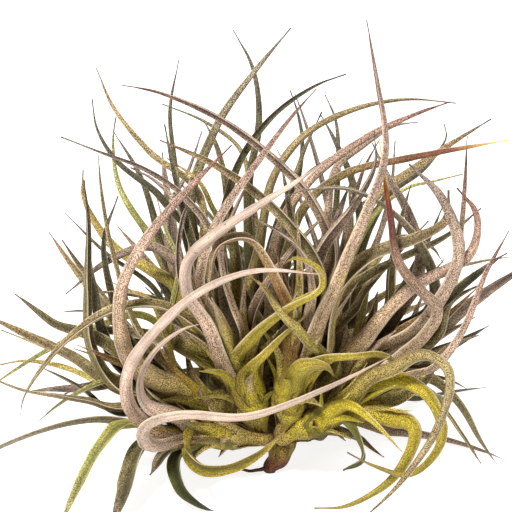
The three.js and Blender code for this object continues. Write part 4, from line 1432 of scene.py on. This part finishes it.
@dataclass(frozen=True)
class ScurfFinish:
    """Living leaf skin under fine pale scales that stand in rough rows along the leaf.

    Attributes:
        name: the material's name.
        rows: scales per centimetre.
        stretch: how much longer than wide their places are.
        bare: the skin between them, as a part of the leaf's tint.
        lit: their brightness where they differ least and most from the skin.
        frost: their colour, for a screen.
        frost_part: how much of it they take at their densest.
        sparse: the covers between which they come to stand out.
        dense: the covers between which the bare skin fades from sight.
        bruise: the colour of the few bruised spots.
        bruises: the levels of a noise between which they appear.
        rim: how pale the rims are.
        rough: the roughness between and on the scales.
        cover: how far a scale reaches where they are sparsest and densest.
        uneven: how much that varies by clump and by scale.
        grains: the noises' scales for the clumps, the bruises and the patches.
    """

    name: str = "scurfy_leaf_skin"
    rows: float = 25.0
    stretch: float = 1.05
    bare: Triple = (0.38, 0.29, 0.22)
    lit: Pair = (1.18, 2.1)
    frost: tuple[int, int, int] = (232, 212, 186)
    frost_part: float = 0.3
    sparse: Pair = (0.05, 0.46)
    dense: Pair = (0.65, 0.95)
    bruise: tuple[int, int, int] = (84, 50, 40)
    bruises: Pair = (0.66, 0.74)
    rim: float = 0.75
    rough: Pair = (0.5, 0.85)
    relief: float = 0.00014
    cover: Pair = (0.22, 0.62)
    uneven: Pair = (0.22, 0.34)
    soft: float = 0.17
    grains: Triple = (700.0, 260.0, 70.0)
    patch: Pair = (0.8, 1.16)
    streak: Pair = (0.8, 1.18)
    # how dark the painted shade on the channel's floor gets
    groove_shade: float = 0.42

    def build(self) -> Material:
        """Builds the material.

        Returns:
            The material.
        """
        graph = Graph(self.name)
        coordinates = graph.add("TexCoord")
        along, place = coordinates.outputs["UV"], coordinates.outputs["Object"]
        skin = graph.attribute("skin", colour=True)
        scurf = graph.attribute("scurf")
        scales = self.scales(graph, along, place, scurf)
        frosted = graph.math("MULTIPLY", graph.step(scurf, 0.3, 0.9), self.frost_part)
        rich = graph.step(scurf, *self.sparse)
        depth = graph.math("MULTIPLY", rich, graph.step(scurf, *self.dense, 1.0, 0.12))
        bright = graph.toned(skin, graph.step(depth, 0.0, 1.0, *self.lit))
        light = graph.blend(frosted, bright, (*linear(self.frost), 1.0))
        bared = graph.blend(1.0, skin, (*self.bare, 1.0), "MULTIPLY")
        dark = graph.blend(depth, light, bared)
        colour = graph.blend(scales, dark, light)
        colour = graph.toned(colour, self.tone(graph, along, place))
        spots = graph.add("TexNoise", {"Vector": place, "Scale": self.grains[1], "Detail": 3.0,
                                       "Roughness": 0.7})
        bruised = graph.step(spots.outputs[0], *self.bruises, 0.0, 0.7)
        colour = graph.blend(bruised, colour, (*linear(self.bruise), 1.0))
        rim = graph.math("MULTIPLY", graph.step(graph.attribute("margin"), 0.1, 0.9), self.rim)
        colour = graph.blend(rim, colour, (*linear(self.frost), 1.0))
        bump = graph.add("Bump", {"Height": scales, "Strength": 0.5, "Distance": self.relief})
        rough = graph.step(scales, 0.0, 1.0, *self.rough)
        shader = graph.add("BsdfPrincipled", {
            "Base Color": colour, "Roughness": rough, "Normal": bump.outputs[0],
            "Sheen Weight": 0.04, "Sheen Roughness": 0.5, "Specular IOR Level": 0.16,
        })
        graph.add("OutputMaterial", {"Surface": shader.outputs[0]})
        return graph.material

    def scales(self, graph: Graph, along: Any, place: Any, scurf: Any) -> Socket:
        """How much of each spot a scale covers: dots that are larger where the leaf's cover is denser.

        Args:
            graph: the material's graph.
            along: texture places across and along the leaf, in centimetres.
            place: places in the plant, in metres.
            scurf: the density of the scales.

        Returns:
            From 0 between the scales to 1 on them.
        """
        laid = graph.add("Mapping", {"Vector": along, "Scale": (1.0, 1 / self.stretch, 1.0)})
        cells = graph.add("TexVoronoi", {"Vector": laid.outputs[0], "Scale": self.rows, "Randomness": 1.0},
                          voronoi_dimensions="2D")
        clump = graph.add("TexNoise", {"Vector": place, "Scale": self.grains[0], "Detail": 2.0,
                                       "Roughness": 0.6})
        sizes = {"Value": scurf, "To Min": self.cover[0], "To Max": self.cover[1]}
        cover = graph.add("MapRange", sizes).outputs[0]
        uneven = graph.math("MULTIPLY", graph.math("SUBTRACT", clump.outputs[0], 0.5), self.uneven[0])
        own = graph.add("SeparateColor", {0: cells.outputs["Color"]}).outputs[0]
        larger = graph.math("MULTIPLY", graph.math("SUBTRACT", own, 0.5), self.uneven[1])
        reach = graph.math("ADD", graph.math("ADD", cover, uneven), larger)
        inside = graph.math("SUBTRACT", reach, cells.outputs["Distance"])
        return graph.step(inside, -self.soft, self.soft)

    def tone(self, graph: Graph, along: Any, place: Any) -> Socket:
        """The brightness of the skin: slow patches, fine streaks along the leaf, and the painted shade of
        the channel's floor with the dark lines beside the rims.

        Args:
            graph: the material's graph.
            along: texture places across and along the leaf, in centimetres.
            place: places in the plant, in metres.

        Returns:
            What the skin's colour is multiplied by.
        """
        patch = graph.add("TexNoise", {"Vector": place, "Scale": self.grains[2], "Detail": 2.0})
        slow = graph.step(patch.outputs[0], *NOISE, *self.patch)
        drawn = graph.add("Mapping", {"Vector": along, "Scale": (14.0, 0.8, 1.0)})
        streak = graph.add("TexNoise", {"Vector": drawn.outputs[0], "Scale": 1.6, "Detail": 3.0})
        fine = graph.step(streak.outputs[0], *NOISE, *self.streak)
        # painted shade: darkens the channel's floor and the lines beside the rims
        deep = graph.step(graph.attribute("groove_shade"), 0.15, 0.95, 1.0, self.groove_shade)
        return graph.math("MULTIPLY", graph.math("MULTIPLY", slow, fine), deep)


@dataclass(frozen=True)
class DryFinish:
    """Dried, fibrous stem and root: streaks along the piece and pits, over a tint of its own."""

    name: str = "dry_stem_fibre"
    streaks: float = 26.0
    drawn: float = 0.12
    grit: float = 900.0
    fibre: Pair = (0.45, 1.25)
    pit: float = 0.35
    roughness: float = 0.78
    relief: float = 0.0004

    def build(self) -> Material:
        """Builds the material.

        Returns:
            The material.
        """
        graph = Graph(self.name)
        coordinates = graph.add("TexCoord")
        skin = graph.attribute("skin", colour=True)
        along, place = coordinates.outputs["UV"], coordinates.outputs["Object"]
        stretch = graph.add("Mapping", {"Vector": along, "Scale": (1.0, self.drawn, 1.0)})
        fibre = graph.add("TexNoise", {"Vector": stretch.outputs[0], "Scale": self.streaks, "Detail": 5.0,
                                       "Roughness": 0.7})
        grit = graph.add("TexNoise", {"Vector": place, "Scale": self.grit, "Detail": 3.0})
        colour = graph.toned(skin, graph.step(fibre.outputs[0], 0.32, 0.68, *self.fibre))
        colour = graph.toned(colour, graph.step(grit.outputs[0], 0.36, 0.5, self.pit, 1.0))
        height = graph.math("ADD", fibre.outputs[0], graph.math("MULTIPLY", grit.outputs[0], 0.5))
        bump = graph.add("Bump", {"Height": height, "Strength": 0.6, "Distance": self.relief})
        shader = graph.add("BsdfPrincipled", {
            "Base Color": colour, "Roughness": self.roughness, "Normal": bump.outputs[0],
            "Specular IOR Level": 0.3,
        })
        graph.add("OutputMaterial", {"Surface": shader.outputs[0]})
        return graph.material


# -------- the plant's pieces


def colour_with_alpha(colour: Array) -> Array:
    """The colours with a fourth value of one."""
    return np.concatenate([colour, np.ones(colour.shape[:-1] + (1,))], axis=-1)


def tube(points: Array, radii: Array, around: int) -> Array:
    """Rings of a round tube along a line.

    A ring's points are the line's point plus the radius times the cosine and sine of the turn about it.

    Args:
        points: rows of x, y and z.
        radii: one for each point, or by point and place round it.
        around: points round a ring.

    Returns:
        Points by ring and place.
    """
    along = directions(points[None])[0]
    start = np.cross(SKEW, points[1] - points[0])
    faces = carried(along[None], start[None])[0]
    sides = np.cross(along, faces)
    turn = 2 * np.pi * np.arange(around) / around
    radii = np.broadcast_to(np.asarray(radii, float).reshape(len(points), -1), (len(points), around))
    wide = (np.cos(turn) * radii)[..., None] * faces[:, None]
    return points[:, None] + wide + (np.sin(turn) * radii)[..., None] * sides[:, None]


def tube_uv(rings: int, around: int, length: float) -> Array:
    """Texture places of a tube: once round it across, and in centimetres along it."""
    round_it, along_it = np.meshgrid(np.linspace(0, 1, around + 1), np.linspace(0, length / 10, rings))
    return np.stack([round_it, along_it], axis=-1)


def unrolled(grid: Array, along: Array, start: float) -> Array:
    """Texture places of a skin in true size: centimetres round it from its keel, and along it.

    Args:
        grid: points by ring and place, in millimetres.
        along: the distance along the piece at each.
        start: a shift of the places, so that no two pieces match.

    Returns:
        Places by ring and place, with one more place where the seam closes.
    """
    closed = np.concatenate([grid, grid[:, :1]], axis=1)
    steps = np.linalg.norm(np.diff(closed, axis=1), axis=2)
    around = np.concatenate([np.zeros((len(grid), 1)), np.cumsum(steps, axis=1)], axis=1)
    keel = around[:, around.shape[1] // 4]
    length = np.concatenate([along, along[:, :1]], axis=1)
    return np.stack([(around - keel[:, None]) / 10 + start, length / 10 + 1.7 * start], axis=-1)


def stand_in(piece: bpy.types.Object, node: str) -> None:
    """Makes a piece ride on the only body in place of a node, which it hides.

    Args:
        piece: the piece.
        node: the node's name.
    """
    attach(piece, BODY)
    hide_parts(node)


@dataclass(frozen=True)
class LeafMarks:
    """How a leaf's colour and marks change along it and across it.

    Pairs are the least and the most, or where something starts and ends, in millimetres from the root.

    Attributes:
        tone: the skin's brightness, from leaf to leaf.
        reach: how far a leaf is green, per green length of its crown.
        fading: the parts of that between which the green fades.
        green_tone: the green's brightness, from leaf to leaf.
        greenest: the green length of the greenest crown.
        green_crowns: the parts of that between which green grows rich.
        rich: how far it covers the skin.
        dark_based: the colourings that take little of it, and how much.
        bare: how much sparser scales are on it.
        edge: how far the dark edges of the bases cover the skin, partly dried margins and partly painted
            contact shade where blades overlap, and where they end.
        worn: how far dried feet cover it, and where they end.
        wear: their variation from leaf to leaf.
        shade: painted shade, how much darker the leaves deep inside the clump are made, and where that ends.
        deep: how far behind the origin a crown's foot is for it.
        line: how strong the dark lines beside the rims are, against the painted shade of the channel.
        line_across: where they lie, per half width, and their breadth.
        line_starts: the parts of the length where they and the channel's painted shade start, and line_ends
            where they end.
        rim_starts: where the pale rims start, and rim_ends the parts of the length where they end.
    """

    tone: Pair = (0.8, 1.18)
    reach: Pair = (0.55, 1.5)
    fading: Pair = (0.3, 1.2)
    green_tone: Pair = (0.75, 1.1)
    greenest: float = 34.0
    green_crowns: Pair = (0.3, 0.75)
    rich: Pair = (0.3, 0.72)
    dark_based: tuple[tuple[Dress, ...], float] = ((Dress.MOSS, Dress.DARK), 0.35)
    bare: float = 0.1
    edge: Triple = (0.85, 16.0, 36.0)
    worn: Triple = (0.75, -2.0, 14.0)
    wear: Pair = (0.4, 1.0)
    shade: Triple = (0.5, 10.0, 75.0)
    deep: Pair = (0.0, 16.0)
    line: float = 0.62
    line_across: Pair = (0.79, 0.09)
    line_starts: Pair = (0.02, 0.12)
    line_ends: Pair = (0.8, 0.97)
    rim_starts: Pair = (22.0, 36.0)
    rim_ends: Pair = (0.85, 1.0)

    def of(self, plan: CrownPlan, values: Values, dress: Dress, seed: int, age: float) -> Values:
        """A leaf's colour, with painted shade deep in the clump and partly at its base's edges, the density
        of its scales, the painted shade of its channel, and its rims.

        Each is a product of smooth steps along the leaf and of powers of the cosine and sine of the
        angle round its section.

        Args:
            plan: its crown's.
            values: the values that go with its grid.
            dress: its colouring.
            seed: a number that varies it.
            age: how far along its colouring its tip is, from 0 to 1.

        Returns:
            The four, by ring and place.
        """
        part, along, across = values["part"], values["along"], np.abs(values["cos"])
        reach = plan.green * mix(*self.reach, scatter(seed, 13)) / age
        green = 1 - smooth(self.fading[0] * reach, self.fading[1] * reach, along)
        rich = mix(*self.rich, smooth(*self.green_crowns, plan.green / self.greenest))
        rich = rich * (self.dark_based[1] if dress in self.dark_based[0] else 1.0)
        skin = dress.value.skin(part * age) * mix(*self.tone, scatter(seed, 11))
        skin = mix(skin, GREEN_BASE * mix(*self.green_tone, scatter(seed, 12)), (rich * green)[..., None])
        # the dark edges of the bases: partly dried margins, partly painted contact shade where the blades
        # overlap
        edge = across**4 * (1 - smooth(*self.edge[1:], along))
        worn = self.worn[0] * mix(*self.wear, scatter(seed, 14)) * (1 - smooth(*self.worn[1:], along))
        skin = mix(skin, DRY_BROWN_AND_EDGE_SHADE, np.maximum(self.edge[0] * edge, worn)[..., None])
        # painted shade: leaves of crowns whose feet lie behind the origin are darkened toward their roots,
        # where the clump is deepest
        painted_inner_shade = self.shade[0] * smooth(*self.deep, -plan.base[2]) * (1 - smooth(*self.shade[1:], along))
        skin = skin * (1 - painted_inner_shade)[..., None]
        beside = np.exp(-(((across - self.line_across[0]) / self.line_across[1]) ** 2))
        fade = smooth(*self.line_starts, part) * (1 - smooth(*self.line_ends, part))
        # painted shade on the floor of the channel, with the dark lines beside the rims
        groove_shade = np.maximum(np.clip(values["sin"], 0, 1) ** 4, self.line * beside) * fade
        margin = across**20 * (1 - smooth(*self.rim_ends, part)) * smooth(*self.rim_starts, along)
        scurf = dress.value.cover(part * age) * (1 - self.bare * green)
        return {"skin": colour_with_alpha(skin), "scurf": scurf, "groove_shade": groove_shade, "margin": margin}


@dataclass(frozen=True)
class Bracts:
    """The short, broad young leaves that cover a crown's core and fill its fan, by the golden ratio.

    Attributes:
        rise: how far up the core the lowest and the highest are rooted.
        length: the lowest's and the highest's.
        lean: how far their tips lean out, in radians.
        varied: what the leans and the lengths are multiplied by, the least and the most.
        width: theirs, on a crown of full girth.
        depth: how far out they start, as a part of the core's radius.
        stands: how far they stand off the core at the shoulder.
        stretches: the climb to the shoulder, and from there to the middle and the tip, per length.
        fresh: their colourings on a green crown, in turn.
        dull: their colourings on any other.
        green: the green length that a crown has more than to be a green one.
    """

    count: int = 16
    rise: Pair = (0.0, 0.7)
    length: Pair = (26.0, 60.0)
    lean: Pair = (0.95, 0.16)
    varied: tuple[Pair, Pair] = ((0.7, 1.3), (0.8, 1.15))
    width: float = 8.5
    depth: float = 0.8
    stands: float = 1.2
    stretches: Triple = (0.25, 0.35, 0.45)
    fresh: tuple[Dress, ...] = (
        Dress.GREEN, Dress.TAN, Dress.LIME, Dress.TAUPE, Dress.GREEN, Dress.TAUPE, Dress.LIME, Dress.TAUPE,
        Dress.TAN, Dress.TAUPE, Dress.EARTH, Dress.TAUPE, Dress.ROSE, Dress.TAUPE, Dress.GREEN, Dress.TAUPE,
    )
    dull: tuple[Dress, ...] = (Dress.TAUPE, Dress.OLIVE, Dress.TAUPE, Dress.EARTH, Dress.ROSE, Dress.TAN)
    green: float = 17.0

    def lines(self, plan: CrownPlan, core: Core, seed: int) -> Lines:
        """The bracts of a crown as lines.

        Args:
            plan: the crown's plan.
            core: its core, which they cover.
            seed: a number that varies them.

        Returns:
            Their lines.
        """
        across = unit(np.cross(core.growth, SKEW))
        beside = np.cross(core.growth, across)
        low, half, high = self.stretches
        points, inward, rises = [], [], []
        for i in range(self.count):
            rank = i / (self.count - 1)
            turn = 2 * math.pi * FillRule.golden * (i + 1) + seed
            outward = across * math.cos(turn) + beside * math.sin(turn)
            rise = mix(*self.rise, rank)
            root, radius = core.at(rise), float(core.radius(rise))
            lean = mix(*self.lean, rank) * mix(*self.varied[0], scatter(seed + i, 21))
            length = plan.girth * mix(*self.length, rank) * mix(*self.varied[1], scatter(seed + i, 22))
            start = root + outward * radius * self.depth
            shoulder = root + outward * (radius + self.stands) + core.growth * length * low
            bent = core.growth * math.cos(lean / 2) + outward * math.sin(lean / 2)
            middle = shoulder + length * half * bent
            tip = middle + length * high * (core.growth * math.cos(lean) + outward * math.sin(lean))
            points.append(even_route(np.array([start, shoulder, middle, tip]), SAMPLES))
            inward.append(-outward)
            rises.append(rise)
        dresses = self.fresh if plan.green > self.green else self.dull
        dress = [dresses[i % len(dresses)] for i in range(self.count)]
        points, inward = np.array(points), np.array(inward)
        return Lines.plain(points, inward, self.width * plan.girth, dress, np.array(rises))


@dataclass
class Crown:
    """One crown: its core, its leaves and the bracts between them as one piece.

    Attributes:
        bract_age: how far along their colouring their tips are.
        bract_seeds: the first crown's first seed, and the step to the next crown's.
        apart: the step between two leaves' places in the texture.
        core_grid: the core's sections, and the points round one.
        core_closes: by how much of its radius it narrows at its end, and from which part on.
        core_fresh: the parts between which it turns green.
    """

    index: int
    plan: CrownPlan
    marks: LeafMarks = LeafMarks()
    loft: LeafLoft = LeafLoft()
    bracts: Bracts = Bracts()
    bract_loft: LeafLoft = LeafLoft(
        rings=44, narrow=1.0, fuller=1.3, slender=0.5, flare=(0.35, 14.0), wrap_end=11.0, most_wrap=1.2,
    )
    bract_age: float = 0.55
    bract_seeds: tuple[int, int] = (500, 20)
    apart: float = 3.1
    core_grid: tuple[int, int] = (24, 20)
    core_closes: Pair = (0.9, 0.9)
    core_fresh: Pair = (0.05, 0.45)
    core_tone: float = 0.8
    core_scurf: float = 0.3

    def build(self, lines: Lines, material: Material) -> bpy.types.Object:
        """Builds the crown's piece in place of its node.

        Args:
            lines: the lines of the clump, bent clear.
            material: the leaves' finish.

        Returns:
            The piece.
        """
        core = Core.of(self.plan)
        writer = MeshWriter(self.plan.node + "_leaves")
        self.add_core(writer, core)
        chosen = np.nonzero(lines.crown[: lines.leaves] == self.index)[0]
        self.add_leaves(writer, self.loft.skins(lines, chosen, core), lines, chosen, 0, 1.0)
        bracts = self.bracts.lines(self.plan, core, self.index)
        all_bracts = np.arange(bracts.leaves)
        first = self.bract_seeds[0] + self.bract_seeds[1] * self.index
        skins = self.bract_loft.skins(bracts, all_bracts, core)
        self.add_leaves(writer, skins, bracts, all_bracts, first, self.bract_age)
        piece = writer.write(material)
        stand_in(piece, self.plan.node)
        log.info("%s: %d leaves", piece.name, len(chosen))
        return piece

    def add_core(self, writer: MeshWriter, core: Core) -> None:
        """Adds the core: a spindle along its axis, its radii joined by straight lines and closed at its end.

        Args:
            writer: the mesh to add to.
            core: the core.
        """
        rise = np.linspace(0.0, 1.0, self.core_grid[0])
        closed, start = self.core_closes
        radii = core.radius(rise) * (1 - closed * smooth(start, 1.0, rise))
        grid = tube(core.at(rise), radii, self.core_grid[1])
        shape = grid.shape[:2]
        fresh = smooth(*self.core_fresh, rise)[:, None, None]
        skin = np.broadcast_to(mix(DRY_BROWN_AND_EDGE_SHADE, GREEN_BASE * self.core_tone, fresh), shape + (3,))
        plain = np.zeros(shape)
        attributes = {"skin": colour_with_alpha(skin), "scurf": plain + self.core_scurf,
                      "groove_shade": plain, "margin": plain}
        writer.add_tube(grid, attributes, tube_uv(*shape, core.length))

    def add_leaves(self, writer: MeshWriter, skins: Values, lines: Lines, chosen: Array, first: int,
                   age: float) -> None:
        """Adds leaves with their colours.

        Args:
            writer: the mesh to add to.
            skins: their grids and the values that go with them.
            lines: the lines that they are among.
            chosen: their indices there.
            first: the seed that index 0 has.
            age: how far along its colouring a leaf's tip is, from 0 to 1.
        """
        for k, leaf in enumerate(chosen):
            values = {key: skin[k] for key, skin in skins.items()}
            seed = first + int(leaf)
            attributes = self.marks.of(self.plan, values, lines.dress[leaf], seed, age)
            uv = unrolled(values["grid"], values["along"], self.apart * seed)
            writer.add_tube(values["grid"], attributes, uv)


@dataclass
class Stem:
    """The stub, its branches, the old sheaths round it and its dried root, in a green and a dry piece.

    Attributes:
        rings: sections along the stub, the root and a branch.
        knots: how much their radii vary.
        waves: each wave's ridges, its turn by section, its start and its height.
        more_sheaths: those beyond the solids', turned by some radians and ending higher.
        apart: the step between two sheaths' places in the texture.
        dried: the height below which it is dry.
        drier: what that is multiplied by, from least to most fresh.
        blend: how far below and above it the green begins and is full.
        edge: how dark the sheaths' edges and the seams are.
        seams: how many a tube has, their turn by section and their power.
        scurf: the scales' density where dry, and how much more where green.
    """

    plan: StemPlan = STEM
    rings: tuple[int, int, int] = (40, 30, 14)
    around: int = 20
    knots: Triple = (0.06, 0.14, 0.03)
    waves: tuple[tuple[int, float, float, float], ...] = ((5, 0.35, 0.0, 0.6), (3, -0.6, 1.0, 0.4))
    more_sheaths: int = 6
    turned: float = 1.1
    longer: float = 0.04
    loft: LeafLoft = LeafLoft(rings=40, slender=0.45, roll=1.0, narrow=1.0, fuller=1.6, flare=(-0.5, 7.0))
    apart: float = 2.3
    dried: float = 6.5
    drier: Pair = (1.5, 0.7)
    blend: Pair = (4.0, 5.0)
    edge: float = 0.75
    seams: tuple[int, float, float] = (5, 0.03, 9.0)
    scurf: Pair = (0.3, 0.2)

    def build(self, green: Material, dry: Material) -> None:
        """Builds the stem's two pieces in place of its node.

        Args:
            green: the finish of the branches and the living sheaths.
            dry: the finish of the stub and the root.
        """
        writer = MeshWriter("stem_stub")
        stub = even_route(self.plan.stub_line(), self.rings[0])
        stub[0], stub[1, :2] = 0.0, 0.0
        self.add(writer, stub, self.spread(self.plan.stub_radii, self.rings[0]), self.knots[0])
        root = even_route(self.plan.root_line(), self.rings[1])
        self.add(writer, root, self.spread(self.plan.root_radii, self.rings[1]), self.knots[1])
        stand_in(writer.write(dry), self.plan.node)
        writer = MeshWriter("stem_branches")
        for plan in CROWNS:
            line = even_route(self.plan.branch(Core.of(plan)), self.rings[2])
            thinner = 1 - np.linspace(0, 1, self.rings[2])
            swell = self.plan.branch_radius + self.plan.branch_swell * thinner
            self.add(writer, line, swell, self.knots[2])
        self.add_sheaths(writer, self.plan.sheath_lines(self.plan.sheaths))
        self.add_sheaths(writer, self.plan.sheath_lines(self.more_sheaths, self.turned, self.longer))
        stand_in(writer.write(green), self.plan.node)
        log.info("stem built")

    @staticmethod
    def spread(radii: Sequence[float], count: int) -> Array:
        """Radii given evenly along a tube, at more places."""
        return np.interp(np.linspace(0, 1, count), np.linspace(0, 1, len(radii)), radii)

    def skin(self, height: Array, edge: Array, fresh: float) -> Values:
        """The values that give the stem its colours: green above, red-brown below, dark at its edges.

        Args:
            height: above the surface.
            edge: from 0 in the middle of a sheath or between seams to 1 at an edge or a seam.
            fresh: how far down it stays green, from 0 to 1.

        Returns:
            The colour, the scales' density, the channel's painted shade and the margin.
        """
        dried = self.dried * mix(*self.drier, fresh)
        green = smooth(dried - self.blend[0], dried + self.blend[1], height)
        skin = mix(STUB_DRY, STUB_GREEN, green[..., None])
        skin = mix(skin, DRY_BROWN_AND_EDGE_SHADE, (self.edge * edge * green)[..., None])
        scurf = self.scurf[0] + self.scurf[1] * green
        return {"skin": colour_with_alpha(skin), "scurf": scurf, "groove_shade": 0 * height, "margin": 0 * height}

    def add_sheaths(self, writer: MeshWriter, lines: Lines) -> None:
        """Adds old blades round the stub, which narrow down to where they grow from it.

        Args:
            writer: the mesh to add to.
            lines: the blades' lines.
        """
        skins = self.loft.skins(lines, np.arange(lines.leaves), None)
        for k in range(lines.leaves):
            grid = skins["grid"][k]
            edge = np.abs(skins["cos"][k]) ** 6
            values = self.skin(grid[..., 2], edge, scatter(k, 31))
            writer.add_tube(grid, values, unrolled(grid, skins["along"][k], self.apart * k))

    def add(self, writer: MeshWriter, line: Array, radii: Array, knots: float) -> None:
        """Adds a gnarled tube: its radius varies by sine waves round it that turn along it.

        Args:
            writer: the mesh to add to.
            line: the tube's middle.
            radii: its radii.
            knots: how much the radius varies, as a part of it.
        """
        turn = (2 * np.pi * np.arange(self.around) / self.around)[None]
        along = np.arange(len(line))[:, None]
        wave = sum(np.sin(ridges * turn + drift * along + start) * high
                   for ridges, drift, start, high in self.waves)
        grid = tube(line, radii[:, None] * (1 + knots * wave), self.around)
        grid[..., 2] = np.maximum(grid[..., 2], 0.0)
        steps = np.linalg.norm(np.diff(line, axis=0), axis=1)
        length = np.concatenate([[0.0], np.cumsum(steps)])[:, None] + np.zeros((1, self.around))
        count, drift, power = self.seams
        seams = np.abs(np.cos(count / 2 * turn + drift * along)) ** power
        values = self.skin(grid[..., 2], seams, 0.5)
        writer.add_tube(grid, values, unrolled(grid, length, float(len(writer.points))))


# -------- the studio


@dataclass(frozen=True)
class Studio:
    """A plain pale floor, soft light and the camera at the front view's eye.

    The picture's width is in squares, and a lamp is its name, direction, softness and strength.
    """

    sensor: float = 36.0
    picture: int = 512
    floor_size: float = 40.0
    floor_grey: float = 0.46
    floor_glow: float = 0.82
    world: float = 0.27
    lamps: tuple[tuple[str, Triple, float, float], ...] = (
        ("key", (-0.4, -0.72, 1.1), 11.0, 3.9),
        ("fill", (0.8, -0.6, 0.5), 40.0, 0.5),
        ("back", (0.3, 0.9, 0.8), 40.0, 2.2),
    )

    def build(self) -> None:
        """Builds the floor, the lights, the world and the camera."""
        self.camera()
        self.floor()
        self.lights()

    def camera(self) -> None:
        """Places the camera at the viewer's eye, looking at the sketch's middle."""
        data = bpy.data.cameras.new("front_view")
        data.sensor_width = self.sensor
        data.lens = self.sensor * VIEW.distance / (self.picture * VIEW.square)
        data.clip_end = 60.0
        camera = bpy.data.objects.new("front_view", data)
        camera.location = VIEW.eye() * METRES
        camera.rotation_euler = (math.pi / 2 - VIEW.tilt, 0.0, 0.0)
        bpy.context.scene.collection.objects.link(camera)
        bpy.context.scene.camera = camera

    def floor(self) -> None:
        """Lays the pale floor at the surface that the plant rests on."""
        half = self.floor_size / 2
        mesh = bpy.data.meshes.new("floor")
        mesh.from_pydata([(-half, -half, 0), (half, -half, 0), (half, half, 0), (-half, half, 0)], [],
                         [(0, 1, 2, 3)])
        graph = Graph("pale_floor")
        shader = graph.add("BsdfPrincipled", {
            "Base Color": (*[self.floor_grey] * 3, 1.0), "Roughness": 0.9, "Specular IOR Level": 0.1,
            "Emission Color": (1, 1, 1, 1), "Emission Strength": self.floor_glow,
        })
        graph.add("OutputMaterial", {"Surface": shader.outputs[0]})
        mesh.materials.append(graph.material)
        floor = bpy.data.objects.new("floor", mesh)
        bpy.context.scene.collection.objects.link(floor)

    def lights(self) -> None:
        """Adds a bright world and the lamps: a key at the upper left, a fill at the right, one behind."""
        world = bpy.data.worlds.new("studio")
        world.use_nodes = True
        world.node_tree.nodes["Background"].inputs[0].default_value = (1.0, 1.0, 1.0, 1.0)
        world.node_tree.nodes["Background"].inputs[1].default_value = self.world
        bpy.context.scene.world = world
        for lamp in self.lamps:
            self.lamp(*lamp)
        settings = bpy.context.scene.view_settings
        settings.view_transform = "Standard"
        settings.look = "None"

    @staticmethod
    def lamp(name: str, toward: Triple, softness: float, strength: float) -> None:
        """Adds a broad, far lamp.

        Args:
            name: its name.
            toward: the direction that it shines from.
            softness: the angle that it takes up in the sky, in degrees.
            strength: its light on a surface that faces it, in watts per square metre.
        """
        data = bpy.data.lights.new(name, "SUN")
        data.angle = math.radians(softness)
        data.energy = strength
        lamp = bpy.data.objects.new(name, data)
        across, forward, up = unit(np.array(toward))
        lamp.rotation_euler = (math.acos(up), 0.0, math.atan2(across, -forward))
        bpy.context.scene.collection.objects.link(lamp)


def corners(bounds: Any) -> list[list[float]]:
    """The lowest and highest corners of a box as plain lists."""
    return [[float(value) for value in corner] for corner in bounds]


def main() -> None:
    """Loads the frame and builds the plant's pieces in order."""
    logging.basicConfig(level=logging.INFO, format="%(name)s: %(message)s")
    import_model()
    Studio().build()
    lines = clump_lines()
    Clearance().bend(lines)
    log.info("%d leaves bent clear", lines.leaves)
    skin = ScurfFinish().build()
    for index, plan in enumerate(CROWNS):
        Crown(index, plan).build(lines, skin)
    Stem().build(skin, DryFinish().build())


if __name__ == "__main__":
    main()
